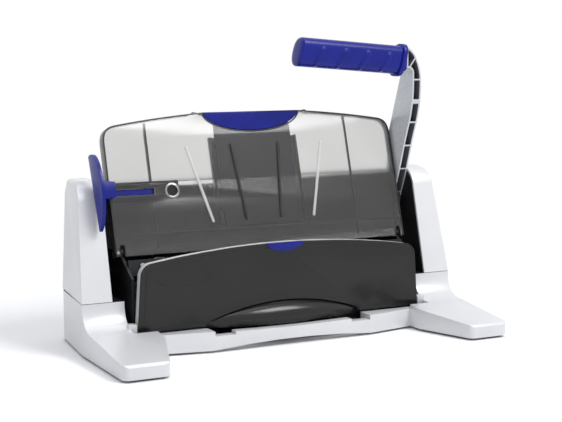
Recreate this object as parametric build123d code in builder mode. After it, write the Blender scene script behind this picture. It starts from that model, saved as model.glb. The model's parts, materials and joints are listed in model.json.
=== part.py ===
from build123d import *
from math import acos, atan2, cos, degrees, radians, sin, sqrt
import os

# Desk punch and comb binder with one hand lever, millimetres.
# X runs to the right as the user sees it, Y to the back, Z up from the table.
# Y = 0 lies at the front of the two towers, where they stand on the base.

# ---- driving dimensions ----------------------------------------------------
HALF_WIDTH = 224.0          # outer face of a tower, at its foot
TOWER_INNER = 191.0         # inner face of a tower
TOWER_JOINT_Z = 55.3        # joint between base and towers
TOWER_TOP_Z = 177.0
TOWER_LEAN = 0.2556         # how far the tower's front leans back, per mm of height
TOWER_DRAW = 0.055          # how far its outer face draws in, per mm of height
TOWER_CROWN = 27.0          # radius of the tower's round top
REAR_Y = 96.0
REAR_TAPER = 10.0           # how far the outer face comes in towards the back
COVER_WALL = 2.6
BASE_WALL = 3.0

PAD_HEIGHT = 2.5            # rubber below the housing
FOOT_FRONT_Y = -118.5
FOOT_INNER_X = 176.0
FOOT_FRONT_Z = 17.0
FOOT_REAR_Z = 27.3
FOOT_ROOT_Y = -28.0         # where the foot starts to sweep up into the tower
PLINTH_INNER = 178.0
STRIP_KINK_X = 95.0
STRIP_FRONT_Y = -42.0
STRIP_SIDE_Y = -30.0
STRIP_TOP_Z = 22.5
STRIP_LIP_Y = -31.0         # back edge of the strip's top
STRIP_END_X = 153.0

SUPPORT_LEAN = 16.7         # degrees
SUPPORT_FOOT_Y = -7.1       # where the paper plane would meet the table
SUPPORT_HALF = 177.5
SUPPORT_TOP = 255.2         # up the slope
SUPPORT_BOTTOM = 102.5
SUPPORT_SHEET = 2.4
SUPPORT_DEPTH = 12.0
SUPPORT_SHOULDER = 243.2
SUPPORT_HINGE_V = 107.5
SUPPORT_HINGE_W = -8.0

TAB_HALF = 59.0             # blue tab at the top of the extension
TAB_DEPTH = 22.0
STRIP_HALF = 47.0           # extension strip

HOLES = 21
PITCH = 14.29
HOLE_WIDTH = 8.0
HOLE_HEIGHT = 3.0
HOLE_MARGIN = 6.0           # paper edge to the middle of a hole
THROAT = 2.6                # paper slot
DIE_THICK = 5.0
GUIDE_THICK = 8.0
STOP_V = 84.0               # the paper's lower edge, up the slope

FRAME_INNER = 168.0         # mechanism side plates
FRAME_PLATE = 3.0
LEVER_Y = 72.0
LEVER_Z = 76.0
SHAFT_RADIUS = 5.0
CAM_RADIUS = 13.5
CAM_THROW = 7.65
CAM_REST = 126.0            # degrees from the press bar's direction
CAM_WIDTH = 12.0
CAM_X = (-112.0, 0.0, 112.0)

ARM_INNER = 178.8
ARM_OUTER = 190.3
ARM_WALL = 1.9
ARM_BOSS = 17.0
GRIP_Y = 20.0
GRIP_LENGTH = 134.0
GRIP_RIGHT_X = 165.0
GRIP_RIGHT_Z = 301.0
GRIP_RISE = 4.4             # degrees, the free end higher
GRIP_HEIGHT = 32.0
GRIP_WIDTH = 25.0

DOOR_FRONT_Y = -19.0
DOOR_HALF = 170.0
DOOR_BOTTOM_Z = 23.5
DOOR_SHOULDER_Z = 93.5
DOOR_TOP_Z = 107.5
DOOR_SHEET = 2.5
DOOR_DEPTH = 11.0
DOOR_AXIS_Y = -13.0
DOOR_AXIS_Z = 27.0
POD_HALF = 92.5             # drawer front, half of its chord
POD_RISE = 17.0             # radius of the drawer front at the middle

FIT = 0.05                  # running fit on a radius
GAP = 0.3                   # between curved faces of neighbours
SLIDE_GAP = 0.5

# press bar, pin tips and pin guide
BAR_THICK = 10.0
PIN_TIP_W = -1.0
GUIDE_TOP_V = 97.0
# base shell
STRIP_ARCH = 4.5            # rise of the finger arch under the strip
LIP_Z = 20.6                # top of the strip below the drawer front
LIP_DIP = 1.0
NOTCH_X = (70.0, 93.5)
NOTCH_DEPTH = 5.0
EAR_X = 171.0               # hinge ears of the front door
EAR_Z = 33.0
DOOR_PIN = 1.6
# bottom plates and pads
PLATE_THICK = 2.0
PAD_RADIUS = 9.0
# mechanism frame: side plates, die, pin guide, paper stop
HINGE_LUG = 5.0
FRAME_FRONT_Y = -4.0
FRAME_BACK_Y = 90.0
HINGE_PIN = 2.0
BUSH_WALL = 2.0
BUSH_FLANGE = 1.6
DECK_Z = 70.0
DECK_THICK = 4.0
PIN_GAP = 0.1
ROD_X = 158.0
ROD_RADIUS = 2.5
STOP_HEIGHT = 4.0
# press bar and its pins
SPRING_WIRE = 0.6
SPRING_RADIUS = 4.2
# lever
ARM_TOP_Z = 318.5
ARM_CORNER = (30.3, 41.0)   # the bend at the top is part of an ellipse
ARM_END_X = 171.0
ARM_END_Z = 292.0
RIB = 1.6
SCREW_RADIUS = 7.0
ARM_RIB_ZS = (278.5, 253.5, 229.5, 202.0, 174.0, 146.0)      # at the arm's front edge
ARM_RIB_YS = (10.6, 12.0, 18.0, 28.0, 37.5, 48.0)
# comb bay: deck, rake and hooks
DECK_FRONT_Y = -12.0
DECK_BACK_Y = 2.0
RAKE_TOP = 90.0
HOPPER_BOTTOM = 32.0
# waste drawer
TRAY_HALF = 56.0
TRAY_FLOOR_Z = 23.6
TRAY_TOP_Z = 29.6
TRAY_BACK_Y = 60.0
TRAY_WALL = 1.6
POD_BOTTOM_Z = 21.0
POD_WALL = 2.2
# front door
DOOR_CORNER = 14.0
DOOR_WALL = 2.5
DOOR_STEP = 6.0
DOOR_TAB_HALF = 20.0
DOOR_TAB_DEPTH = 8.0
LABEL_X = -118.0
LABEL_Z = 78.0
# paper support
RAIL_X = 51.3
RAIL_WALL = 2.5
STRIP_THICK = 2.4
GUIDE_V = 170.2
CHANNEL_X = (-174.3, -97.0)
CHANNEL_HALF = 11.2
CHANNEL_DEPTH = 6.0
SLOT_X = (-174.5, -125.5)
SLOT_HALF = 3.2
GUIDE_HALF = 4.0
RING_X = -105.8
RING_OUTER = 8.6
RING_INNER = 5.9
BACK_RIB = 1.8
BACK_RIB_DEPTH = 3.6
# edge guide
FENCE_CENTRE = (26.5, 165.0)
FENCE_RADIUS = 40.7
FENCE_LEAN = 23.0
FENCE_X = (-199.8, -196.2)
HUB_X = (-184.3, -178.4)      # narrow, so it can slide out between panel and tower
HUB_HALF = 10.2
HUB_BACK_W = -6.5
HUB_ARM_W = (16.5, 24.0)
STRIP_END = -127.6
# covers behind the paper support
THROAT_W = -16.0
THROAT_V0 = 114.0
THROAT_TOP_Z = 168.0
THROAT_LEFT = -190.6
THROAT_RIGHT = 176.6
THROAT_WALL = 2.5

# ---- places worked out from them -------------------------------------------
LEAN_S = sin(radians(SUPPORT_LEAN))
LEAN_C = cos(radians(SUPPORT_LEAN))
PAPER = Plane(origin=(0, SUPPORT_FOOT_Y, 0), x_dir=(1, 0, 0), z_dir=(0, -LEAN_C, LEAN_S))
PIN_V = STOP_V + HOLE_MARGIN
SHAFT_V = (LEVER_Y - SUPPORT_FOOT_Y) * LEAN_S + LEVER_Z * LEAN_C
SHAFT_W = -(LEVER_Y - SUPPORT_FOOT_Y) * LEAN_C + LEVER_Z * LEAN_S
CAM_REST_REACH = CAM_RADIUS + CAM_THROW * cos(radians(CAM_REST))
BAR_BACK_W = SHAFT_W + CAM_REST_REACH + 0.4
BAR_FRONT_W = BAR_BACK_W + BAR_THICK
HOLE_XS = [(i - (HOLES - 1) / 2) * PITCH for i in range(HOLES)]


def paper_plane(v, w=0.0, x=0.0):
    """A plane parallel to the paper, its origin v up the slope and w in front."""
    return Plane(
        origin=PAPER.from_local_coords(Vector(x, v, w)), x_dir=(1, 0, 0), z_dir=PAPER.z_dir
    )


def section_plane(x):
    """A plane across the machine: local X is Y, local Y is Z, normal is +X."""
    return Plane(origin=(x, 0, 0), x_dir=(0, 1, 0), z_dir=(1, 0, 0))


def front_plane(y):
    """A plane seen from the front: local X is X, local Y is Z, normal is -Y."""
    return Plane(origin=(0, y, 0), x_dir=(1, 0, 0), z_dir=(0, -1, 0))


def tower_front(z):
    """Y of the tower's leaning front face at height z."""
    return TOWER_LEAN * (z - TOWER_JOINT_Z) - 0.9


os.makedirs("parts", exist_ok=True)


def save(part, label):
    part.label = label
    export_step(part, f"parts/{label}.step")


# ---- base shell ---------------------------------------------------------------
def side_outline(inset):
    """Plan of one foot and its plinth, on the right-hand side."""
    with BuildSketch() as plan:
        with BuildLine():
            Polyline(
                (HALF_WIDTH - 0.5 - inset, FOOT_FRONT_Y + inset),
                (HALF_WIDTH - inset, 0),
                (HALF_WIDTH - REAR_TAPER - inset, REAR_Y - inset),
                (PLINTH_INNER + inset, REAR_Y - inset),
                (PLINTH_INNER + inset, STRIP_SIDE_Y - inset),
                (STRIP_END_X + inset, STRIP_SIDE_Y - inset),
                (STRIP_END_X + inset, -50 + inset),
                (FOOT_INNER_X + inset, FOOT_FRONT_Y + inset),
                close=True,
            )
        make_face()
        fillet(plan.vertices().group_by(Axis.Y)[0], radius=7 - inset * 0.6)
        fillet(plan.vertices().filter_by(lambda p: p.X > 205 and p.Y > 80), radius=10 - inset)
    return plan.sketch


def foot_profile(inset):
    """Side view of a foot and its plinth."""
    top = TOWER_JOINT_Z - inset
    with BuildSketch(section_plane(100)) as profile:
        with BuildLine():
            Polyline(
                (FOOT_ROOT_Y + inset * 0.6, FOOT_REAR_Z - inset),
                (FOOT_FRONT_Y + 3, FOOT_FRONT_Z - inset),
                (FOOT_FRONT_Y - 1, FOOT_FRONT_Z - 3 - inset),
                (FOOT_FRONT_Y - 1, 0),
                (REAR_Y, 0),
                (REAR_Y, top),
                (tower_front(TOWER_JOINT_Z) + inset, top),
            )
            ThreePointArc(
                (tower_front(TOWER_JOINT_Z) + inset, top),
                (-7.0 + inset * 0.8, 35.6 - inset * 0.6),
                (FOOT_ROOT_Y + inset * 0.6, FOOT_REAR_Z - inset),
            )
        make_face()
    return profile.sketch


def side_block(inset, floor):
    tall = extrude(Plane.XY.offset(floor) * side_outline(inset), amount=TOWER_JOINT_Z)
    return tall & extrude(foot_profile(inset), amount=150)


def strip_outline(inset):
    """Plan of the silver strip across the front."""
    with BuildSketch() as plan:
        with BuildLine():
            Polyline(
                (-STRIP_END_X - 8, STRIP_SIDE_Y + inset),
                (-STRIP_KINK_X, STRIP_FRONT_Y + inset),
                (STRIP_KINK_X, STRIP_FRONT_Y + inset),
                (STRIP_END_X + 8, STRIP_SIDE_Y + inset),
                (STRIP_END_X + 8, DOOR_FRONT_Y - 2 - inset),
                (-STRIP_END_X - 8, DOOR_FRONT_Y - 2 - inset),
                close=True,
            )
        make_face()
    return plan.sketch


side_outer = side_block(0, PAD_HEIGHT)
side_inner = side_block(BASE_WALL, 0)
strip_outer = Plane.XY.offset(PAD_HEIGHT) * strip_outline(0)
strip_inner = strip_outline(BASE_WALL)

with BuildPart() as base_shell:
    add(side_outer)
    add(mirror(side_outer, about=Plane.YZ, mode=Mode.PRIVATE))
    add(extrude(strip_outer, amount=STRIP_TOP_Z - PAD_HEIGHT, mode=Mode.PRIVATE))
    with Locations((0, REAR_Y - BASE_WALL / 2, (TOWER_JOINT_Z + PAD_HEIGHT) / 2)):
        Box(2 * PLINTH_INNER + 2, BASE_WALL, TOWER_JOINT_Z - PAD_HEIGHT)
    # finger arch, the dip behind the drawer front and its two notches
    with BuildSketch(front_plane(STRIP_FRONT_Y - 5)):
        with BuildLine():
            ThreePointArc(
                (-STRIP_KINK_X, PAD_HEIGHT), (0, PAD_HEIGHT + STRIP_ARCH), (STRIP_KINK_X, PAD_HEIGHT)
            )
            Line((STRIP_KINK_X, PAD_HEIGHT), (-STRIP_KINK_X, PAD_HEIGHT))
        make_face()
        with BuildLine():
            ThreePointArc((-NOTCH_X[0], LIP_Z), (0, LIP_Z - LIP_DIP), (NOTCH_X[0], LIP_Z))
            Polyline(
                (NOTCH_X[0], LIP_Z),
                (NOTCH_X[0], STRIP_TOP_Z),
                (-NOTCH_X[0], STRIP_TOP_Z),
                (-NOTCH_X[0], LIP_Z),
            )
        make_face()
        with Locations(
            *[(s * sum(NOTCH_X) / 2, STRIP_TOP_Z - NOTCH_DEPTH / 2) for s in (-1, 1)]
        ):
            Rectangle(NOTCH_X[1] - NOTCH_X[0], NOTCH_DEPTH)
    extrude(amount=-60, mode=Mode.SUBTRACT)
    # hollow inside, open below
    add(side_inner, mode=Mode.SUBTRACT)
    add(mirror(side_inner, about=Plane.YZ, mode=Mode.PRIVATE), mode=Mode.SUBTRACT)
    strip_hollow = STRIP_TOP_Z - NOTCH_DEPTH - 2
    add(extrude(strip_inner, amount=strip_hollow, mode=Mode.PRIVATE), mode=Mode.SUBTRACT)
    # room for the drawer behind the lip
    with Locations((0, (STRIP_LIP_Y + DOOR_FRONT_Y) / 2, STRIP_TOP_Z)):
        Box(2 * POD_HALF + 2, DOOR_FRONT_Y - STRIP_LIP_Y, 16, mode=Mode.SUBTRACT)
    for side in (-1, 1):
        with Locations((side * (EAR_X + PLINTH_INNER + 2) / 2, DOOR_AXIS_Y, EAR_Z - 9)):
            Box(PLINTH_INNER + 2 - EAR_X, 10, 18)
    with Locations(Location((0, DOOR_AXIS_Y, DOOR_AXIS_Z), (0, 90, 0))):
        Cylinder(DOOR_PIN, 2 * (EAR_X + 5), mode=Mode.SUBTRACT)
save(base_shell.part, "base_shell")

# ---- bottom plates and pads -----------------------------------------------------
foot_plate_plan = Plane.XY.offset(PAD_HEIGHT) * side_outline(BASE_WALL + GAP)
with BuildPart() as right_foot_plate:
    add(extrude(foot_plate_plan, amount=PLATE_THICK, mode=Mode.PRIVATE))
save(right_foot_plate.part, "right_foot_plate")
with BuildPart() as left_foot_plate:
    add(mirror(right_foot_plate.part, about=Plane.YZ, mode=Mode.PRIVATE))
save(left_foot_plate.part, "left_foot_plate")

FLOOR_FRONT_Y = DOOR_FRONT_Y - 2
with BuildPart() as bottom_plate:
    with Locations((0, (FLOOR_FRONT_Y + REAR_Y - BASE_WALL - GAP) / 2, PAD_HEIGHT + PLATE_THICK / 2)):
        Box(2 * (PLINTH_INNER - GAP), REAR_Y - BASE_WALL - GAP - FLOOR_FRONT_Y, PLATE_THICK)
    edges = bottom_plate.edges().filter_by(Axis.Z)
    fillet(edges, radius=3)
save(bottom_plate.part, "bottom_plate")

PADS = [(x, y) for x in (-200, 200) for y in (-96, 70)] + [(0, 0)]
with BuildPart() as foot_pads:
    with Locations(*[(x, y, PAD_HEIGHT / 2) for x, y in PADS]):
        Cylinder(PAD_RADIUS, PAD_HEIGHT)
save(foot_pads.part, "foot_pads")

# ---- tower covers and their inner plates ---------------------------------------
def tower_body(inset):
    """Right-hand tower above the joint, drawn in all round by inset."""
    inner = TOWER_INNER if inset == 0 else TOWER_INNER - 5
    height = TOWER_TOP_Z - TOWER_JOINT_Z
    with BuildPart() as body:
        with BuildSketch(Plane.XY.offset(TOWER_JOINT_Z)):
            with BuildLine():
                Polyline(
                    (inner, -10),
                    (HALF_WIDTH - inset, -10),
                    (HALF_WIDTH - inset, 0),
                    (HALF_WIDTH - REAR_TAPER - inset, REAR_Y - inset),
                    (inner, REAR_Y - inset),
                    close=True,
                )
            make_face()
        extrude(amount=height)
        # side view: leaning front, round top, upright back
        crown = TOWER_CROWN - inset
        top = TOWER_TOP_Z - inset
        slope = sqrt(1 + TOWER_LEAN**2)
        start_z = TOWER_TOP_Z - TOWER_CROWN * (1 + TOWER_LEAN / slope)
        centre_y = tower_front(TOWER_TOP_Z - TOWER_CROWN) + TOWER_CROWN * slope
        with BuildSketch(section_plane(TOWER_INNER - 10)):
            with BuildLine():
                face = centre_y - crown / slope
                mid = crown * 0.7071
                Polyline(
                    (centre_y, top),
                    (REAR_Y - inset - 16, top),
                    (REAR_Y - inset, top - 16),
                    (REAR_Y - inset, TOWER_JOINT_Z),
                    (tower_front(TOWER_JOINT_Z) + inset * slope, TOWER_JOINT_Z),
                    (face, TOWER_TOP_Z - TOWER_CROWN + crown * TOWER_LEAN / slope),
                )
                ThreePointArc(
                    (face, TOWER_TOP_Z - TOWER_CROWN + crown * TOWER_LEAN / slope),
                    (centre_y - mid, TOWER_TOP_Z - TOWER_CROWN + mid),
                    (centre_y, top),
                )
            make_face()
        extrude(amount=60, mode=Mode.INTERSECT)
        # front view: outer face drawn in, rounded over at the top
        draw = TOWER_DRAW * height
        with BuildSketch(front_plane(-20)) as front:
            with BuildLine():
                Polyline(
                    (inner, TOWER_JOINT_Z),
                    (HALF_WIDTH - inset, TOWER_JOINT_Z),
                    (HALF_WIDTH - draw - inset, top),
                    (inner, top),
                    close=True,
                )
            make_face()
            fillet(front.vertices().sort_by(Axis.Y)[-2:].sort_by(Axis.X)[-1], radius=9 - inset)
        extrude(amount=-140, mode=Mode.INTERSECT)
    return body.part


tower_outer = tower_body(0)
tower_inner = tower_body(COVER_WALL)
with BuildPart() as right_tower_cover:
    add(tower_outer)
    add(tower_inner, mode=Mode.SUBTRACT)
save(right_tower_cover.part, "right_tower_cover")
with BuildPart() as left_tower_cover:
    add(mirror(right_tower_cover.part, about=Plane.YZ, mode=Mode.PRIVATE))
save(left_tower_cover.part, "left_tower_cover")

side_plate_blank = tower_body(COVER_WALL + 0.2)
with BuildPart() as right_side_plate:
    add(side_plate_blank)
    with Locations((TOWER_INNER - 20, 40, 110)):
        Box(40, 300, 300, mode=Mode.SUBTRACT)
    with Locations((TOWER_INNER + 2.2 + 30, 40, 110)):
        Box(60, 300, 300, mode=Mode.SUBTRACT)
save(right_side_plate.part, "right_side_plate")
with BuildPart() as left_side_plate:
    add(mirror(right_side_plate.part, about=Plane.YZ, mode=Mode.PRIVATE))
save(left_side_plate.part, "left_side_plate")

# ---- mechanism frame: side plates, die, pin guide, paper stop -------------------
FLOOR_TOP = PAD_HEIGHT + PLATE_THICK
SUPPORT_AXIS = paper_plane(SUPPORT_HINGE_V, SUPPORT_HINGE_W).origin


def across(x0, x1, y, z, radius, mode=Mode.ADD):
    """A round bar along X."""
    with Locations(Location(((x0 + x1) / 2, y, z), (0, 90, 0))):
        Cylinder(radius, abs(x1 - x0), mode=mode)


def frame_plate(side):
    x0 = side * FRAME_INNER if side > 0 else -FRAME_INNER - FRAME_PLATE
    with BuildPart() as plate:
        with BuildSketch(section_plane(x0)) as outline:
            with BuildLine():
                Polyline(
                    (FRAME_FRONT_Y, FLOOR_TOP),
                    (FRAME_BACK_Y, FLOOR_TOP),
                    (FRAME_BACK_Y, 96),
                    (SUPPORT_AXIS.Y + 3, SUPPORT_AXIS.Z + 4),
                    (SUPPORT_AXIS.Y - 4, SUPPORT_AXIS.Z - 3),
                    (FRAME_FRONT_Y, 78),
                    close=True,
                )
            make_face()
            with Locations((SUPPORT_AXIS.Y, SUPPORT_AXIS.Z)):
                Circle(HINGE_LUG)
        extrude(amount=FRAME_PLATE)
        across(x0 - 1, x0 + FRAME_PLATE + 1, LEVER_Y, LEVER_Z, SHAFT_RADIUS + BUSH_WALL, Mode.SUBTRACT)
        across(
            x0 - 1, x0 + FRAME_PLATE + 1, SUPPORT_AXIS.Y, SUPPORT_AXIS.Z, HINGE_PIN, Mode.SUBTRACT
        )
    return plate.part


save(frame_plate(1), "right_frame_plate")
save(frame_plate(-1), "left_frame_plate")

with BuildPart() as shaft_bushes:
    for side in (-1, 1):
        x0 = side * FRAME_INNER
        across(x0, x0 + side * FRAME_PLATE, LEVER_Y, LEVER_Z, SHAFT_RADIUS + BUSH_WALL)
        across(x0 - side * BUSH_FLANGE, x0, LEVER_Y, LEVER_Z, SHAFT_RADIUS + BUSH_WALL + 2.5)
    across(-180, 180, LEVER_Y, LEVER_Z, SHAFT_RADIUS + FIT, Mode.SUBTRACT)
save(shaft_bushes.part, "shaft_bushes")


def punched_bar(x_half, v0, v1, w0, w1, hole_gap):
    with BuildPart() as bar:
        with BuildSketch(paper_plane((v0 + v1) / 2, w0)):
            Rectangle(2 * x_half, v1 - v0)
        extrude(amount=w1 - w0)
        with BuildSketch(paper_plane(PIN_V, w0)):
            with Locations(*[(x, 0) for x in HOLE_XS]):
                Rectangle(HOLE_WIDTH + 2 * hole_gap, HOLE_HEIGHT + 2 * hole_gap)
        extrude(amount=w1 - w0, mode=Mode.SUBTRACT)
    return bar.part


pin_guide_blank = punched_bar(FRAME_INNER, STOP_V, GUIDE_TOP_V, -GUIDE_THICK, 0, PIN_GAP)
die_blank = punched_bar(FRAME_INNER, STOP_V, GUIDE_TOP_V, THROAT, THROAT + DIE_THICK, PIN_GAP)
with BuildPart() as pin_guide:
    add(pin_guide_blank)
    with BuildSketch(paper_plane(PIN_V, -GUIDE_THICK)):
        with Locations((-ROD_X, 0), (ROD_X, 0)):
            Circle(ROD_RADIUS)
    extrude(amount=GUIDE_THICK - 2, mode=Mode.SUBTRACT)
save(pin_guide.part, "pin_guide")
with BuildPart() as die_plate:
    add(die_blank)
save(die_plate.part, "die_plate")

with BuildPart() as paper_stop:
    with BuildSketch(paper_plane(STOP_V - STOP_HEIGHT / 2, -GUIDE_THICK)):
        Rectangle(2 * FRAME_INNER, STOP_HEIGHT)
    extrude(amount=GUIDE_THICK + THROAT + DIE_THICK)
save(paper_stop.part, "paper_stop")

with BuildPart() as guide_rods:
    with BuildSketch(paper_plane(PIN_V, -2)):
        with Locations((-ROD_X, 0), (ROD_X, 0)):
            Circle(ROD_RADIUS)
    extrude(amount=-(-2 - BAR_BACK_W + 4))
save(guide_rods.part, "guide_rods")

# ---- press bar and its pins ------------------------------------------------------
with BuildPart() as press_bar:
    with BuildSketch(paper_plane(PIN_V, BAR_BACK_W)):
        Rectangle(2 * (FRAME_INNER - BUSH_FLANGE - 0.6), 14)
    extrude(amount=BAR_THICK)
    with BuildSketch(paper_plane(PIN_V, BAR_BACK_W)):
        with Locations((-ROD_X, 0), (ROD_X, 0)):
            Circle(ROD_RADIUS + 0.1)
    extrude(amount=BAR_THICK, mode=Mode.SUBTRACT)
save(press_bar.part, "press_bar")

with BuildPart() as punch_pins:
    with BuildSketch(paper_plane(PIN_V, BAR_FRONT_W)):
        with Locations(*[(x, 0) for x in HOLE_XS]):
            Rectangle(HOLE_WIDTH, HOLE_HEIGHT)
    extrude(amount=PIN_TIP_W - BAR_FRONT_W)
save(punch_pins.part, "punch_pins")

with BuildPart() as return_springs:
    with BuildSketch(paper_plane(PIN_V, BAR_FRONT_W + 0.3)):
        with Locations((-ROD_X, 0), (ROD_X, 0)):
            Circle(SPRING_RADIUS + SPRING_WIRE)
            Circle(ROD_RADIUS + 0.4, mode=Mode.SUBTRACT)
    extrude(amount=-GUIDE_THICK - 0.3 - BAR_FRONT_W - 0.3)
save(return_springs.part, "return_springs")

# ---- lever -------------------------------------------------------------------------
with BuildPart() as drive_shaft:
    across(-FRAME_INNER - FRAME_PLATE - 4, ARM_OUTER - 2, LEVER_Y, LEVER_Z, SHAFT_RADIUS)
save(drive_shaft.part, "drive_shaft")

cam_direction = radians(180 - SUPPORT_LEAN - CAM_REST)
CAM_Y = LEVER_Y + CAM_THROW * cos(cam_direction)
CAM_Z = LEVER_Z + CAM_THROW * sin(cam_direction)
with BuildPart() as drive_cams:
    for x in CAM_X:
        across(x - CAM_WIDTH / 2, x + CAM_WIDTH / 2, CAM_Y, CAM_Z, CAM_RADIUS)
    across(-180, 180, LEVER_Y, LEVER_Z, SHAFT_RADIUS + 0.01, Mode.SUBTRACT)
save(drive_cams.part, "drive_cams")

ARM_FRONT = [(10.6, 300), (10.6, 262), (15.5, 237), (25.5, 210), (34.8, 182), (46.0, 152), (54.5, 118)]
ARM_BACK = [(31.0, 300), (38.3, 278), (47.8, 252), (58.0, 225), (69.0, 190), (80.0, 152), (87.5, 112)]


def arm_front_view(inset):
    """The arm from the front: upright, then round the corner into the grip."""
    with BuildSketch(front_plane(0)) as view:
        with BuildLine():
            outer = ARM_OUTER - inset
            inner = ARM_INNER + inset
            end_x = ARM_END_X + inset
            bend = ARM_END_Z + inset
            small = 5.5 + inset
            wide = ARM_CORNER[0] - inset
            high = ARM_CORNER[1] - inset
            middle = (ARM_OUTER - ARM_CORNER[0], ARM_TOP_Z - ARM_CORNER[1])
            turn = acos((end_x - middle[0]) / wide)
            half_turn = (middle[0] + wide * cos(turn / 2), middle[1] + high * sin(turn / 2))
            crown = (end_x, middle[1] + high * sin(turn))
            Line((outer, LEVER_Z - 20), (outer, middle[1]))
            Spline(
                (outer, middle[1]), half_turn, crown, tangents=[(0, 1), (-sin(turn), cos(turn))]
            )
            Line(crown, (end_x, bend))
            Line((end_x, bend), (inner - small, bend))
            ThreePointArc(
                (inner - small, bend),
                (inner - small * 0.2929, bend - small * 0.2929),
                (inner, bend - small),
            )
            Line((inner, bend - small), (inner, LEVER_Z - 20))
            Line((inner, LEVER_Z - 20), (outer, LEVER_Z - 20))
        make_face()
    return view.sketch


def arm_side_view(front_inset, back_inset):
    """The arm from the side: bowed, deeper in the middle."""
    front = [(y + front_inset, z) for y, z in ARM_FRONT]
    back = [(y - back_inset, z) for y, z in ARM_BACK]
    with BuildSketch(section_plane(150)) as view:
        with BuildLine():
            Line((front[0][0], 330), front[0])
            Spline(*front, tangents=[(0, -1), (0.1, -1)])
            Line(front[-1], (front[-1][0], LEVER_Z - 20))
            Line((front[-1][0], LEVER_Z - 20), (back[-1][0], LEVER_Z - 20))
            Line((back[-1][0], LEVER_Z - 20), back[-1])
            Spline(*reversed(back), tangents=[(-0.1, 1), (-0.2, 1)])
            Line(back[0], (back[0][0], 330))
            Line((back[0][0], 330), (front[0][0], 330))
        make_face()
    return view.sketch


def arm_solid(inset, front_inset, back_inset):
    seen_from_front = extrude(arm_front_view(inset), amount=-110)
    return seen_from_front & extrude(arm_side_view(front_inset, back_inset), amount=60)


arm_outer = arm_solid(0, 0, 0)
arm_inner = arm_solid(ARM_WALL, -5, 2.6)
with BuildPart() as arm_cells:
    add(arm_inner)
    for y, z in zip(ARM_RIB_YS, ARM_RIB_ZS):
        with Locations(Location((ARM_INNER + 6, y, z), (-14, 0, 0))):
            Box(40, 200, RIB if z != ARM_RIB_ZS[1] else 3 * RIB, mode=Mode.SUBTRACT)
    with Locations(Location((180, 30, 300), (0, -55, 0))):
        Box(60, 100, RIB, mode=Mode.SUBTRACT)
    with Locations((180, 70, LEVER_Z)):
        Box(60, 80, 2 * (ARM_BOSS + 12), mode=Mode.SUBTRACT)
with BuildPart() as lever_arm:
    add(arm_outer)
    with Locations((185, LEVER_Y, LEVER_Z - 15)):
        Box(30, 60, 30, mode=Mode.SUBTRACT)
    across(ARM_INNER, ARM_OUTER, LEVER_Y, LEVER_Z, ARM_BOSS)
    add(arm_cells.part, mode=Mode.SUBTRACT)
    across(ARM_INNER - 1, ARM_OUTER - 2, LEVER_Y, LEVER_Z, SHAFT_RADIUS + 0.01, Mode.SUBTRACT)
    across(ARM_OUTER - 2, ARM_OUTER + 1, LEVER_Y, LEVER_Z, SCREW_RADIUS + FIT, Mode.SUBTRACT)
save(lever_arm.part, "lever_arm")

rise = radians(GRIP_RISE)
GRIP_AXIS = Plane(
    origin=(GRIP_RIGHT_X, GRIP_Y, GRIP_RIGHT_Z), x_dir=(0, 1, 0), z_dir=(-cos(rise), 0, sin(rise))
)
with BuildPart() as lever_grip:
    with BuildSketch(GRIP_AXIS.offset(-8)):
        Ellipse(GRIP_WIDTH / 2 + 2.5, GRIP_HEIGHT / 2 + 2.5)
    extrude(amount=8)
    with BuildSketch(GRIP_AXIS):
        Ellipse(GRIP_WIDTH / 2, GRIP_HEIGHT / 2)
    extrude(amount=GRIP_LENGTH - 6)
    with Locations((ARM_END_X + 20, 20, 300)):
        Box(40, 100, 80, mode=Mode.SUBTRACT)
    fillet(lever_grip.edges().sort_by(Axis.X)[0], radius=4)
save(lever_grip.part, "lever_grip")

with BuildPart() as lever_screw:
    across(ARM_OUTER - 2, ARM_OUTER - 0.4, LEVER_Y, LEVER_Z, SCREW_RADIUS)
save(lever_screw.part, "lever_screw")

with BuildPart() as shaft_spacer:
    across(FRAME_INNER + FRAME_PLATE + 0.2, ARM_INNER, LEVER_Y, LEVER_Z, SHAFT_RADIUS + 3)
    across(160, ARM_INNER + 1, LEVER_Y, LEVER_Z, SHAFT_RADIUS + 0.01, Mode.SUBTRACT)
save(shaft_spacer.part, "shaft_spacer")

# ---- comb bay: deck, rake and hooks --------------------------------------------------
with BuildPart() as comb_deck:
    with Locations((0, (DECK_FRONT_Y + DECK_BACK_Y) / 2, DECK_Z + DECK_THICK / 2)):
        Box(2 * (FRAME_INNER - 6), DECK_BACK_Y - DECK_FRONT_Y, DECK_THICK)
    with Locations((0, (FRAME_FRONT_Y + DECK_BACK_Y) / 2, DECK_Z + DECK_THICK / 2)):
        Box(2 * FRAME_INNER, DECK_BACK_Y - FRAME_FRONT_Y, DECK_THICK)
save(comb_deck.part, "comb_deck")

DECK_TOP = DECK_Z + DECK_THICK
with BuildPart() as comb_rake:
    with Locations((0, 0.8, DECK_TOP + 2)):
        Box(2 * (HOLE_XS[-1] + PITCH), 1.6, 4)
    with Locations(*[(x + PITCH / 2, 0.8, (DECK_TOP + RAKE_TOP) / 2) for x in HOLE_XS]):
        Box(5, 1.6, RAKE_TOP - DECK_TOP)
save(comb_rake.part, "comb_rake")

with BuildPart() as hook_bar:
    with Locations((0, -3.5, DECK_TOP + 0.1 + 2)):
        Box(2 * (HOLE_XS[-1] + PITCH), 4, 4)
save(hook_bar.part, "hook_bar")
with BuildPart() as comb_hooks:
    with Locations(*[(x, -3.5, DECK_TOP + 4.1 + 4) for x in HOLE_XS]):
        Box(3.6, 1.6, 8)
    with Locations(*[(x, -2.4, DECK_TOP + 4.1 + 8.8) for x in HOLE_XS]):
        Box(3.6, 3.8, 1.6)
save(comb_hooks.part, "comb_hooks")

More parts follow.
